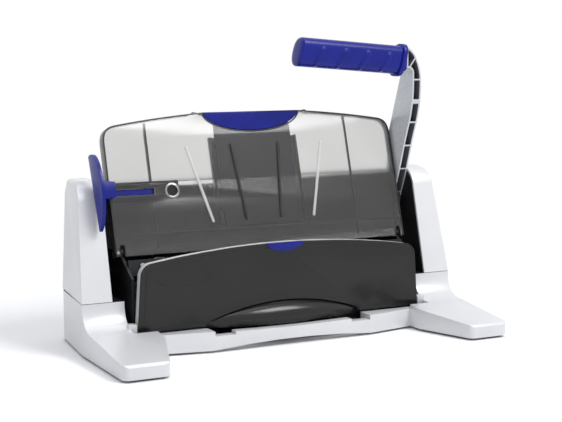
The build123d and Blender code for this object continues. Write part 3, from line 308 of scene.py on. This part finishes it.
# ---- shared shapes -----------------------------------------------------------------------------
BODIES = {
    member: body
    for body, members in frame["record"]["behaviour"]["bodies"].items() for member in members
}
LEAN = math.radians(16.7)       # of the paper support
PAPER_FOOT = -7.1               # where its front face would meet the table


def on_paper(x, up, out):
    """A point up the paper support's slope and out from its front face, millimetres to metres."""
    return Vector((
        x * MM,
        (PAPER_FOOT + up * math.sin(LEAN) - out * math.cos(LEAN)) * MM,
        (up * math.cos(LEAN) + out * math.sin(LEAN)) * MM,
    ))


def stand_for(piece, name):
    """The piece takes a CAD node's place, on the same body, and the node is hidden."""
    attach(piece, BODIES[name])
    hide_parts(name)
    return piece


def show(name, mesh):
    """Puts a mesh or curve into the scene, at the origin."""
    made = bpy.data.objects.new(name, mesh)
    bpy.context.scene.collection.objects.link(made)
    return made


def plain_mesh(holder):
    """The mesh of an object with its modifiers or its curve's settings worked in."""
    depsgraph = bpy.context.evaluated_depsgraph_get()
    return bpy.data.meshes.new_from_object(holder.evaluated_get(depsgraph), depsgraph=depsgraph)


def settle(piece):
    """Turns live modifiers into plain mesh."""
    mesh = plain_mesh(piece)
    piece.modifiers.clear()
    piece.data = mesh


ROUND_CORNER = 40       # degrees, on the turned and wound pieces


def smooth(mesh, degrees):
    """Smooth shading, with edges sharper than the angle left as edges."""
    mesh.polygons.foreach_set("use_smooth", [True] * len(mesh.polygons))
    mesh.set_sharp_from_angle(angle=math.radians(degrees))


MERGE_WITHIN = 0.02     # millimetres
FLAT_WITHIN = 1.5       # degrees


def shell_copy(name):
    """A merged copy of a CAD node's mesh, its flat faces whole again."""
    shape = bmesh.new()
    shape.from_mesh(nodes[name].data)
    bmesh.ops.remove_doubles(shape, verts=shape.verts, dist=MERGE_WITHIN * MM)
    bmesh.ops.dissolve_limit(
        shape, angle_limit=math.radians(FLAT_WITHIN), verts=shape.verts, edges=shape.edges
    )
    return shape


CORNER = 25.0           # degrees from which an edge counts as a corner to be rolled
JOINT_REACH = 1.5       # millimetres within which an edge counts as part of a joint


def rolled(name, width_mm, steps=3, plain_height=None, reshape=None):
    """A CAD node's shape with its sharp edges rolled over, as a moulding or casting has them.

    Edges at plain_height stay sharp, because the next shell meets them there. reshape moves each
    corner first, in millimetres.
    """
    shape = shell_copy(name)
    if reshape:
        for corner in shape.verts:
            corner.co = reshape(corner.co / MM) * MM
    weight = shape.edges.layers.float.new("bevel_weight_edge")
    for edge in shape.edges:
        at_joint = plain_height is not None and all(
            abs(end.co.z - plain_height * MM) < JOINT_REACH * MM for end in edge.verts
        )
        bent = len(edge.link_faces) == 2 and edge.calc_face_angle() > math.radians(CORNER)
        edge[weight] = 1.0 if bent and not at_joint else 0.0
    mesh = bpy.data.meshes.new(name + "_skin")
    shape.to_mesh(mesh)
    shape.free()
    piece = show(name + "_skin", mesh)
    mesh.materials.append(FINISH[name])
    roll = piece.modifiers.new("edge_roll", "BEVEL")
    roll.width = width_mm * MM
    roll.segments = steps
    roll.limit_method = "WEIGHT"
    roll.miter_outer = "MITER_ARC"
    roll.use_clamp_overlap = True
    settle(piece)
    smooth(piece.data, CORNER)
    return stand_for(piece, name)


def paint_faces(piece, material, wanted):
    """Faces that pass the test take a second material."""
    piece.data.materials.append(material)
    for face in piece.data.polygons:
        if wanted(face):
            face.material_index = 1


# ---- shells ------------------------------------------------------------------------------------
JOINT_Z = 55.3          # where the towers stand on the base
SEAM = 0.55             # open joint that shows as a dark line
TOWER_TOP = 177.0
TOWER_BACK = 96.0
OUTER_FACE = 200.0      # beyond this a corner belongs to a tower's outer face
BACK_DRAW = 1.0         # how far that face comes in at the back of its foot
REAR_DRAW = 5.5         # and how much more at its top
ON_JOINT = 0.3          # a face this near to the joint's height lies in the joint


def tower_shape(corner):
    """Draws the outer face in towards the back and top, and opens the joint above the base."""
    if abs(corner.x) < OUTER_FACE:
        return Vector((corner.x, corner.y, max(corner.z, JOINT_Z + SEAM)))
    up = min(max((corner.z - JOINT_Z) / (TOWER_TOP - JOINT_Z), 0), 1)
    back = min(max(corner.y / TOWER_BACK, 0), 1)
    draw = back * (BACK_DRAW + REAR_DRAW * up)
    return Vector((
        corner.x - math.copysign(draw, corner.x), corner.y, max(corner.z, JOINT_Z + SEAM)
    ))


# The rim that the towers stand on shows only inside the machine, where it is in the dark.
paint_faces(
    rolled("base_shell", 1.6, plain_height=JOINT_Z), BLACK,
    lambda face: face.normal.z > 0.9 and abs(face.center.z - JOINT_Z * MM) < ON_JOINT * MM,
)
rolled("left_tower_cover", 3.0, 4, plain_height=JOINT_Z, reshape=tower_shape)
rolled("right_tower_cover", 3.0, 4, plain_height=JOINT_Z, reshape=tower_shape)
# The sheet's inner face is painted black as the shade inside the machine, so that nothing pale shines
# through the smoked pieces.
paint_faces(rolled("rear_cover", 0.8, 2), BLACK, lambda face: face.normal.y < -0.5)
rolled("throat_cover", 1.0, 2)
rolled("door_frame", 0.5, 2)

# ---- lever -------------------------------------------------------------------------------------
# The arm's front edge, (y, z) from its top down.
ARM_FRONT = [
    (10.6, 300), (10.6, 262), (15.5, 237), (25.5, 210), (34.8, 182), (46.0, 152), (54.5, 118),
]
CELL_FLOOR = 100.0      # millimetres above the table where the open cells start
CELL_DEPTH = 1.4        # the casting's front edges keep their lacquer this far in
CELL_SPAN = 30.0        # how far a face in a cell looks for a wall
CLEAR_OF_FACE = 0.3


def front_at(z):
    """Where the arm's front edge is at a height."""
    z = min(max(z, ARM_FRONT[-1][1]), ARM_FRONT[0][1])
    for (y0, z0), (y1, z1) in zip(ARM_FRONT, ARM_FRONT[1:]):
        if z1 <= z <= z0:
            return y0 + (y1 - y0) * (z0 - z) / (z0 - z1)


def shade_cells(piece):
    """Faces inside the casting's cells take a second material.

    They are the ones that look at another wall of a cell, and the web behind it: the shade there is
    painted into their colour.
    """
    piece.data.materials.append(CELL_SHADE)
    shape = bmesh.new()
    shape.from_mesh(piece.data)
    tree = BVHTree.FromBMesh(shape)
    for face in shape.faces:
        middle = face.calc_center_median()
        if middle.z < CELL_FLOOR * MM or middle.y / MM - front_at(middle.z / MM) < CELL_DEPTH:
            continue
        start = middle + face.normal * CLEAR_OF_FACE * MM
        wall = tree.ray_cast(start, face.normal, CELL_SPAN * MM)[0]
        if wall is not None or face.normal.y < -0.6:
            face.material_index = 1
    shape.to_mesh(piece.data)
    shape.free()


# The lever's cells take painted shade.
shade_cells(rolled("lever_arm", 0.5, 2))

GRIP_END = Vector((165, 20, 301))       # where the collar starts, millimetres
GRIP_RISE = math.radians(4.4)
GRIP_LENGTH = 128
GRIP_HALF_DEPTH = 12.5
GRIP_HALF_HEIGHT = 16.0
GRIP_RINGS = 180
GRIP_SIDES = 96
END_ROUND = 3.0         # the free end's edge rolls over along this length
END_SHRINK = 0.17
CAP_LINE = ((0.86, 0.5), (0.5, 0.7), (0.2, 0.8))        # share of the outline, height of the dome
COLLAR = 6
COLLAR_LIP = 2.5
COLLAR_LINE = (         # along the collar, share of its lip
    (0.0, 0.0), (0.25, 0.75), (1.1, 1.0), (COLLAR - 1.1, 1.0), (COLLAR - 0.25, 0.8), (COLLAR, 0.55),
)
CORE_SHARE = 0.78       # the core in the arm's socket, as a share of the grip's outline
CORE_LENGTH = 3.0
CORE_REACH = 0.2        # how far its flat end stands out of the collar
GRIP_SHIFT = 3.0        # the grip's rings start this far short of the arm, over the core
GRIP_SKEW = 0.15        # its ends lean, so the top stands nearer to the arm
FINGER_RIDGES = (0.185, 0.408, 0.63, 0.85)      # along the grip, from its free end
RIDGE_TOP = (2.6, 3.6)          # each ridge's upper end, along and up from its place
RIDGE_FOOT = (-3.0, -12.0)
RIDGE_HEIGHT = 2.3
RIDGE_HALF_WIDTH = 3.6
RIDGE_SLOPE = 1.6               # how wide its sides take to rise


def step_between(low, high, value):
    """A soft step from 0 to 1."""
    t = min(max((value - low) / (high - low), 0), 1)
    return t * t * (3 - 2 * t)


def grip_section(angle):
    """Depth and height of the grip's outline, boxier in front than behind."""
    c, s = math.cos(angle), math.sin(angle)
    power = 2 / (3.1 if c > 0 else 2.3)
    return (
        math.copysign(abs(c) ** power, c) * GRIP_HALF_DEPTH,
        math.copysign(abs(s) ** power, s) * GRIP_HALF_HEIGHT,
    )


def ridge(along, height):
    """How far the finger ridges stand out at a point of the front."""
    out = 0
    for place in FINGER_RIDGES:
        base = place * GRIP_LENGTH
        top, low = (base + RIDGE_TOP[0], RIDGE_TOP[1]), (base + RIDGE_FOOT[0], RIDGE_FOOT[1])
        span = (top[0] - low[0], top[1] - low[1])
        t = (along - low[0]) * span[0] + (height - low[1]) * span[1]
        t /= span[0] ** 2 + span[1] ** 2
        t = min(max(t, 0), 1)
        gap = math.hypot(along - low[0] - t * span[0], height - low[1] - t * span[1])
        out = max(out, RIDGE_HEIGHT * step_between(0, RIDGE_SLOPE, RIDGE_HALF_WIDTH - gap))
    return out


def grip_ring(along, depth_share, height_share, ridged=False):
    """Points round the grip: along it, out to the front, and up."""
    ring = []
    for k in range(GRIP_SIDES):
        angle = 2 * math.pi * k / GRIP_SIDES
        depth, height = grip_section(angle)
        push = ridge(along, height) if ridged and math.cos(angle) > 0.3 else 0
        ring.append((along, depth * depth_share + push, height * height_share))
    return ring


def bridge(shape, low, high):
    """A band of faces between two of the grip's rings."""
    for k in range(GRIP_SIDES):
        n = (k + 1) % GRIP_SIDES
        shape.faces.new((low[k], low[n], high[n], high[k]))


def grip_mesh():
    """The grip with its finger ridges, its collar and the core that goes into the arm."""
    rings = []
    for i in range(GRIP_RINGS + 1):
        along = GRIP_LENGTH * i / GRIP_RINGS
        pull = max(0, END_ROUND - along) / END_ROUND
        shrink = 1 - END_SHRINK * (1 - math.sqrt(max(0, 1 - pull**2)))
        rings.append(grip_ring(along, shrink, shrink, ridged=True))
    for offset, share in COLLAR_LINE:
        lip = share * COLLAR_LIP
        rings.append(grip_ring(
            GRIP_LENGTH + offset, 1 + lip / GRIP_HALF_DEPTH, 1 + lip / GRIP_HALF_HEIGHT
        ))
    for offset in (COLLAR, COLLAR + CORE_LENGTH):
        rings.append(grip_ring(GRIP_LENGTH + offset, CORE_SHARE, CORE_SHARE))

    shape = bmesh.new()
    axis = Vector((math.cos(GRIP_RISE), 0, -math.sin(GRIP_RISE)))
    up = Vector((math.sin(GRIP_RISE), 0, math.cos(GRIP_RISE)))
    placed = []
    for ring in rings:
        row = []
        for along, depth, height in ring:
            point = GRIP_END + axis * (along - GRIP_LENGTH) + up * height - Vector((0, depth, 0))
            if ring is rings[-1]:
                point.x = GRIP_END.x + COLLAR + CORE_REACH
            else:
                point.x += GRIP_SKEW * height - GRIP_SHIFT
            row.append(shape.verts.new(point * MM))
        placed.append(row)
    for low, high in zip(placed, placed[1:]):
        bridge(shape, low, high)
    for row, domed in ((placed[0], 1), (placed[-1], 0)):
        middle = sum((v.co for v in row), Vector()) / GRIP_SIDES
        outer = row
        for share, dome in CAP_LINE:
            reach = axis * domed * dome * MM
            inner = [shape.verts.new(middle + (v.co - middle) * share - reach) for v in row]
            bridge(shape, outer, inner)
            outer = inner
        shape.faces.new(outer)
    bmesh.ops.recalc_face_normals(shape, faces=shape.faces)
    mesh = bpy.data.meshes.new("grip")
    shape.to_mesh(mesh)
    shape.free()
    mesh.materials.append(BLUE)
    smooth(mesh, ROUND_CORNER)
    return mesh


stand_for(show("grip", grip_mesh()), "lever_grip")

# ---- paper support -----------------------------------------------------------------------------
# Turns a drawing in (x, up, out) into the paper's plane.
PAPER_PLACE = Matrix((
    (1, 0, 0, 0),
    (0, math.sin(LEAN), -math.cos(LEAN), PAPER_FOOT * MM),
    (0, math.cos(LEAN), math.sin(LEAN), 0),
    (0, 0, 0, 1),
))


def plate(outlines, front, back, roll, material):
    """A flat moulding in the paper's plane, with rolled edges.

    Outlines are in (x, up), and front and back are its faces' heights out of that plane.
    """
    drawing = bpy.data.curves.new("plate", "CURVE")
    drawing.dimensions = "2D"
    drawing.fill_mode = "BOTH"
    drawing.extrude = (front - back) / 2 - roll
    drawing.bevel_depth = roll
    drawing.bevel_resolution = 2
    drawing.offset = -roll
    for points in outlines:
        line = drawing.splines.new("POLY")
        line.points.add(len(points) - 1)
        for point, (x, up) in zip(line.points, points):
            point.co = (x, up, 0, 1)
        line.use_cyclic_u = True
    holder = show("plate", drawing)
    mesh = plain_mesh(holder)
    bpy.data.objects.remove(holder)
    mesh.transform(Matrix.Translation((0, 0, (front + back) / 2)))
    mesh.transform(Matrix.Scale(MM, 4))
    mesh.transform(PAPER_PLACE)
    mesh.materials.clear()
    mesh.materials.append(material)
    return mesh


SAME_POINT = 0.001      # millimetres
PLATE_CORNER = 35       # degrees


def gather(name, meshes):
    """One piece from several meshes, each with its own material."""
    shape = bmesh.new()
    finishes = []
    for mesh in meshes:
        if mesh.materials[0] not in finishes:
            finishes.append(mesh.materials[0])
        first = len(shape.faces)
        shape.from_mesh(mesh)
        shape.faces.ensure_lookup_table()
        for face in shape.faces[first:]:
            face.material_index = finishes.index(mesh.materials[0])
    bmesh.ops.remove_doubles(shape, verts=shape.verts, dist=SAME_POINT * MM)
    joined = bpy.data.meshes.new(name)
    shape.to_mesh(joined)
    shape.free()
    for finish in finishes:
        joined.materials.append(finish)
    smooth(joined, PLATE_CORNER)
    return show(name, joined)


def bend(start, first, second, end, steps):
    """Points of a cubic curve, without its last one."""
    made = []
    for k in range(steps):
        t = k / steps
        u = 1 - t
        made.append(tuple(
            u**3 * a + 3 * u * u * t * b + 3 * u * t * t * c + t**3 * d
            for a, b, c, d in zip(start, first, second, end)
        ))
    return made


def inset(points, width, low):
    """The same line moved inwards, its points left alone below a height."""
    moved = []
    for k, (x, up) in enumerate(points):
        before, after = points[k - 1], points[(k + 1) % len(points)]
        run = (after[0] - before[0], after[1] - before[1])
        size = math.hypot(*run) or 1
        shift = (-run[1] / size * width, run[0] / size * width)
        moved.append((x + shift[0], up + shift[1] if up > low else up))
    return moved


def box_outline(x, up, width, height):
    """A rectangle round its middle."""
    return [
        (x + a * width / 2, up + b * height / 2) for a, b in ((-1, -1), (1, -1), (1, 1), (-1, 1))
    ]


END_STEPS = 8


def bar_outline(x0, up0, x1, up1, width):
    """A bar with round ends from one point to another."""
    turn = math.atan2(up1 - up0, x1 - x0)
    made = []
    for x, up, start in ((x1, up1, turn - math.pi / 2), (x0, up0, turn + math.pi / 2)):
        for k in range(END_STEPS + 1):
            angle = start + math.pi * k / END_STEPS
            made.append((x + width / 2 * math.cos(angle), up + width / 2 * math.sin(angle)))
    return made


SUPPORT_HALF, SUPPORT_LOW, SUPPORT_TOP = 177.5, 102.5, 255.2
SHEET, FLANGE = 2.4, 12.0               # thickness of the sheet, depth of its side walls
STRAIGHT_UP = 140                       # below this the sides run straight down
RIM = 1.5                               # width of the dark line round the sheet
RIM_PROUD = 0.05
UNDER_SHEET = -SHEET - 0.12             # a hair clear of the sheet's back
SLOT_IN, SLOT_OUT, SLOT_UP = 166.5, 172.5, 114.5        # where the mechanism plates pass
TAB_HALF, TAB_DEPTH, TAB_GAP = 59.0, 22.0, 0.7
TAB_STEPS = 40
BAR_END, BAR_DEEP = 51.3, 2.6           # the bar behind the notch, between the two side walls
GUIDE_UP, RING_X = 170.2, -105.8        # height of the edge guide's slot, place of the sight ring
GUIDE_SLOT = (-150.0, GUIDE_UP, 49.0, 6.4)
CHANNEL_LOW, CHANNEL_HIGH = GUIDE_UP - 11.5, GUIDE_UP + 11.5
RING_DROP, RING_RADIUS, RING_SIDES = 0.5, 8.65, 48
EDGE_ROLL = 0.3
RIB_BACK, RAIL_BACK = -6.0, -8.0
RIB_WIDTH, RAIL_WIDTH = 1.8, 2.5
RIB_UP = 124.3                          # the rib that runs across
RIB_LINES = (                           # x, lower and upper end
    (-128, 109, CHANNEL_LOW), (-128, CHANNEL_HIGH, 245), (119, 109, 246.5),
)
RAIL_LINES = ((-52.5, 129, 227), (52.5, 129, 227))
RAIL_LIP = (49.3, 178, 8.5, 98)         # the lips under which the extension runs
# The outer raised lines take painted highlight, the inner pair painted dark.
RIDGE_LINES = (                         # upper end, lower end, finish
    (83.6, 216.7, 62.3, 133.7, RIDGE_HIGHLIGHT), (29.2, 218.0, 21.3, 134.5, SMOKED_PAINTED_DARK),
)
RIDGE_WIDTH, RIDGE_ROLL = 3.4, 0.75


def bowl(half, depth):
    """A half oval that hangs from the support's top edge, from its right end to its left."""
    turns = [math.pi * k / TAB_STEPS for k in range(TAB_STEPS + 1)]
    return [(half * math.cos(turn), SUPPORT_TOP - depth * math.sin(turn)) for turn in turns]


def mirrored(points):
    """The same line on the other side, run the other way."""
    return [(-x, up) for x, up in reversed(points)]


def dark_rib(outline, front=-SHEET, back=RIB_BACK):
    """A rib on the sheet's back."""
    return plate([outline], front, back, EDGE_ROLL, SMOKED_PAINTED_DARK)


# The sheet's outline: up its right side, round the corner, along the top and through the notch.
right_side = [(SUPPORT_HALF, STRAIGHT_UP), (SUPPORT_HALF, 180)] + bend(
    (SUPPORT_HALF, 226), (176.9, 237.5), (172.5, 242.0), (163.0, 243.6), 10
) + bend((163.0, 243.6), (130.0, 248.9), (95.0, 252.6), (TAB_HALF, SUPPORT_TOP), 12)
around = right_side + bowl(TAB_HALF, TAB_DEPTH) + mirrored(right_side)
inner_around = inset(around, RIM, STRAIGHT_UP + 1)
inner_around[0] = (SUPPORT_HALF - RIM, STRAIGHT_UP)
inner_around[-1] = (-SUPPORT_HALF + RIM, STRAIGHT_UP)
low_inner = [(-SUPPORT_HALF + RIM, SUPPORT_LOW)]
for x0, x1 in ((-SLOT_OUT, -SLOT_IN), (SLOT_IN, SLOT_OUT)):
    low_inner += [(x0, SUPPORT_LOW), (x0, SLOT_UP), (x1, SLOT_UP), (x1, SUPPORT_LOW)]
low_inner.append((SUPPORT_HALF - RIM, SUPPORT_LOW))
rim_line = (
    [(SUPPORT_HALF, SUPPORT_LOW)] + around
    + [(-SUPPORT_HALF, SUPPORT_LOW), (-SUPPORT_HALF + RIM, SUPPORT_LOW)]
    + inner_around[::-1] + [(SUPPORT_HALF - RIM, SUPPORT_LOW)]
)
ring_turns = [2 * math.pi * k / RING_SIDES for k in range(RING_SIDES)]
ring_hole = [
    (RING_X + RING_RADIUS * math.cos(turn), GUIDE_UP - RING_DROP + RING_RADIUS * math.sin(turn))
    for turn in ring_turns
]
wall_in = inset(right_side, SHEET, STRAIGHT_UP + 1)
wall_in[0] = (SUPPORT_HALF - SHEET, STRAIGHT_UP)
right_wall = (
    [(SUPPORT_HALF, SUPPORT_LOW)] + right_side
    + [(BAR_END, SUPPORT_TOP), (BAR_END, SUPPORT_TOP - BAR_DEEP)]
    + wall_in[::-1] + [(SUPPORT_HALF - SHEET, SUPPORT_LOW)]
)
# The rim, the ribs and the side walls carry painted light and shade; the sheet itself is the plain
# smoked plastic.
panel_parts = [
    plate([low_inner + inner_around, box_outline(*GUIDE_SLOT), ring_hole], 0, -SHEET, 0.25, SMOKED),
    plate([rim_line], RIM_PROUD, -SHEET - 0.1, EDGE_ROLL, SMOKED_PAINTED_DARK),
    plate([right_wall], UNDER_SHEET, -FLANGE, EDGE_ROLL, SMOKED_WALL_PAINTED_LIGHT),
    plate([mirrored(right_wall)], UNDER_SHEET, -FLANGE, EDGE_ROLL, SMOKED_WALL_PAINTED_LIGHT),
    dark_rib(box_outline(0, SUPPORT_TOP - BAR_DEEP / 2, 2 * BAR_END - 0.2, 2.4), -5.6, -FLANGE),
]
for lines, width in ((RIB_LINES, RIB_WIDTH), (RAIL_LINES, RAIL_WIDTH)):
    for x, low, high in lines:
        panel_parts.append(dark_rib(box_outline(x, (low + high) / 2, width, high - low)))
panel_parts.append(dark_rib(box_outline(0, RIB_UP, 2 * SUPPORT_HALF - 5, RIB_WIDTH)))
for side in (-1, 1):
    lip_x, lip_up, lip_width, lip_height = RAIL_LIP
    panel_parts.append(
        dark_rib(box_outline(side * lip_x, lip_up, lip_width, lip_height), RIB_BACK, RAIL_BACK)
    )
    for x0, up0, x1, up1, finish in RIDGE_LINES:
        outline = bar_outline(side * x0, up0, side * x1, up1, RIDGE_WIDTH)
        panel_parts.append(plate([outline], 1.0, -0.8, RIDGE_ROLL, finish))
stand_for(gather("support_sheet", panel_parts), "support_panel")

# The thumb tab, with a plain raised arrowhead that points the way the extension slides.
ARROW_UP = 246.5
ARROW_SIZES = (4.6, 3.2)        # outer and inner, so only a line is raised
arrow_turns = [math.radians(degrees) for degrees in (0, 120, 240)]
arrow = [
    [(size * math.sin(turn), ARROW_UP + size * math.cos(turn)) for turn in arrow_turns]
    for size in ARROW_SIZES
]
stand_for(
    gather("thumb_tab", [
        plate([bowl(TAB_HALF - TAB_GAP, TAB_DEPTH - TAB_GAP)], 0.35, -2.5, 0.5, BLUE),
        plate(arrow, 0.6, 0.2, 0.12, BLUE),
    ]),
    "extension_tab",
)

rolled("door_window", 0.5, 2)
rolled("drawer_front", 0.5, 2)

DOOR_TOP = 107.5
TAB_WIDER, TAB_DEEPER = 1.12, 1.25
HUB_X = -195.0          # the edge guide's fence starts here, outside its hub
FENCE_SHARE = 0.66      # how far the fence stands out, as a share of the plain solid's
FENCE_Y, FENCE_Z = 26.5, 165        # a point of the fence's straight side, which leans
FENCE_LEAN = math.radians(23)
HUB_SLIMMER = 0.2


def wider_tab(corner):
    """The small tab's underside is a fuller curve than the plain solid's."""
    return Vector((corner.x * TAB_WIDER, corner.y, DOOR_TOP + (corner.z - DOOR_TOP) * TAB_DEEPER))


def slim_fence(corner):
    """The half-moon fence is flatter than half of a disc, and its hub is slimmer."""
    if corner.x > -SUPPORT_HALF:
        return corner
    if corner.x > HUB_X:
        up = corner.z * math.cos(LEAN) + (corner.y - PAPER_FOOT) * math.sin(LEAN)
        draw = (GUIDE_UP - up) * HUB_SLIMMER
        return corner + Vector((0, draw * math.sin(LEAN), draw * math.cos(LEAN)))
    straight = FENCE_Y + (corner.z - FENCE_Z) * math.tan(FENCE_LEAN)
    return Vector((corner.x, straight - (straight - corner.y) * FENCE_SHARE, corner.z))


rolled("door_tab", 0.4, 2, reshape=wider_tab)
rolled("edge_guide", 1.1, 3, reshape=slim_fence)
rolled("extension_strip", 0.4, 2)
rolled("guide_channel", 0.5, 2)
rolled("sight_ring", 0.5, 3)


# ---- springs, grown by a node tree -------------------------------------------------------------
def grow(name, node_name, body_mesh, build, sizes):
    """Runs a geometry tree on a base mesh and keeps the result as plain mesh."""
    piece = show(name, body_mesh)
    tree = bpy.data.node_groups.new(name + "_tree", "GeometryNodeTree")
    tree.interface.new_socket("Geometry", in_out="INPUT", socket_type="NodeSocketGeometry")
    tree.interface.new_socket("Geometry", in_out="OUTPUT", socket_type="NodeSocketGeometry")
    for size in sizes:
        tree.interface.new_socket(size, in_out="INPUT", socket_type="NodeSocketFloat")
    entry = node(tree, "NodeGroupInput")
    shaped = build(tree, entry)
    real = node(tree, "GeometryNodeRealizeInstances", {0: shaped})
    painted = node(
        tree, "GeometryNodeSetMaterial", {0: real.outputs[0], "Material": FINISH[node_name]}
    )
    node(tree, "NodeGroupOutput", {0: painted.outputs[0]})
    modifier = piece.modifiers.new("grow", "NODES")
    modifier.node_group = tree
    for item in tree.interface.items_tree:
        if item.in_out == "INPUT" and item.name in sizes:
            modifier[item.identifier] = sizes[item.name]
    settle(piece)
    smooth(piece.data, ROUND_CORNER)
    return stand_for(piece, node_name)


def points_mesh(name, points):
    """Loose points for a tree to build on."""
    mesh = bpy.data.meshes.new(name)
    mesh.from_pydata([tuple(p) for p in points], [], [])
    return mesh


ALONG_PRESS = (math.pi / 2 - LEAN, 0, 0)       # turns +Z onto the press bar's way
SPRING_X, SPRING_UP, SPRING_OUT = 158, 90, -24.3
SPRING_SPOTS = [on_paper(side * SPRING_X, SPRING_UP, SPRING_OUT) for side in (-1, 1)]
COIL_TURNS = 7.0
TURN_STEPS, WIRE_SIDES = 28, 8


def coil(tree, entry):
    """A coil spring on every point, along the press bar's way."""
    helix = node(
        tree, "GeometryNodeCurveSpiral",
        {"Resolution": TURN_STEPS, "Rotations": COIL_TURNS,
         "Start Radius": entry.outputs["Coil radius"],
         "End Radius": entry.outputs["Coil radius"], "Height": entry.outputs["Length"]},
    )
    wire = node(
        tree, "GeometryNodeCurvePrimitiveCircle",
        {"Resolution": WIRE_SIDES, "Radius": entry.outputs["Wire radius"]},
    )
    tube = node(
        tree, "GeometryNodeCurveToMesh",
        {"Curve": helix.outputs[0], "Profile Curve": wire.outputs[0], "Fill Caps": True},
    )
    spread = node(
        tree, "GeometryNodeInstanceOnPoints",
        {"Points": entry.outputs[0], "Instance": tube.outputs[0], "Rotation": ALONG_PRESS},
    )
    return spread.outputs[0]


grow(
    "coil_springs", "return_springs", points_mesh("spring_spots", SPRING_SPOTS), coil,
    {"Coil radius": 4.0 * MM, "Wire radius": 0.55 * MM, "Length": 15.4 * MM},
)

# ---- sizes -------------------------------------------------------------------------------------
low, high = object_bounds()
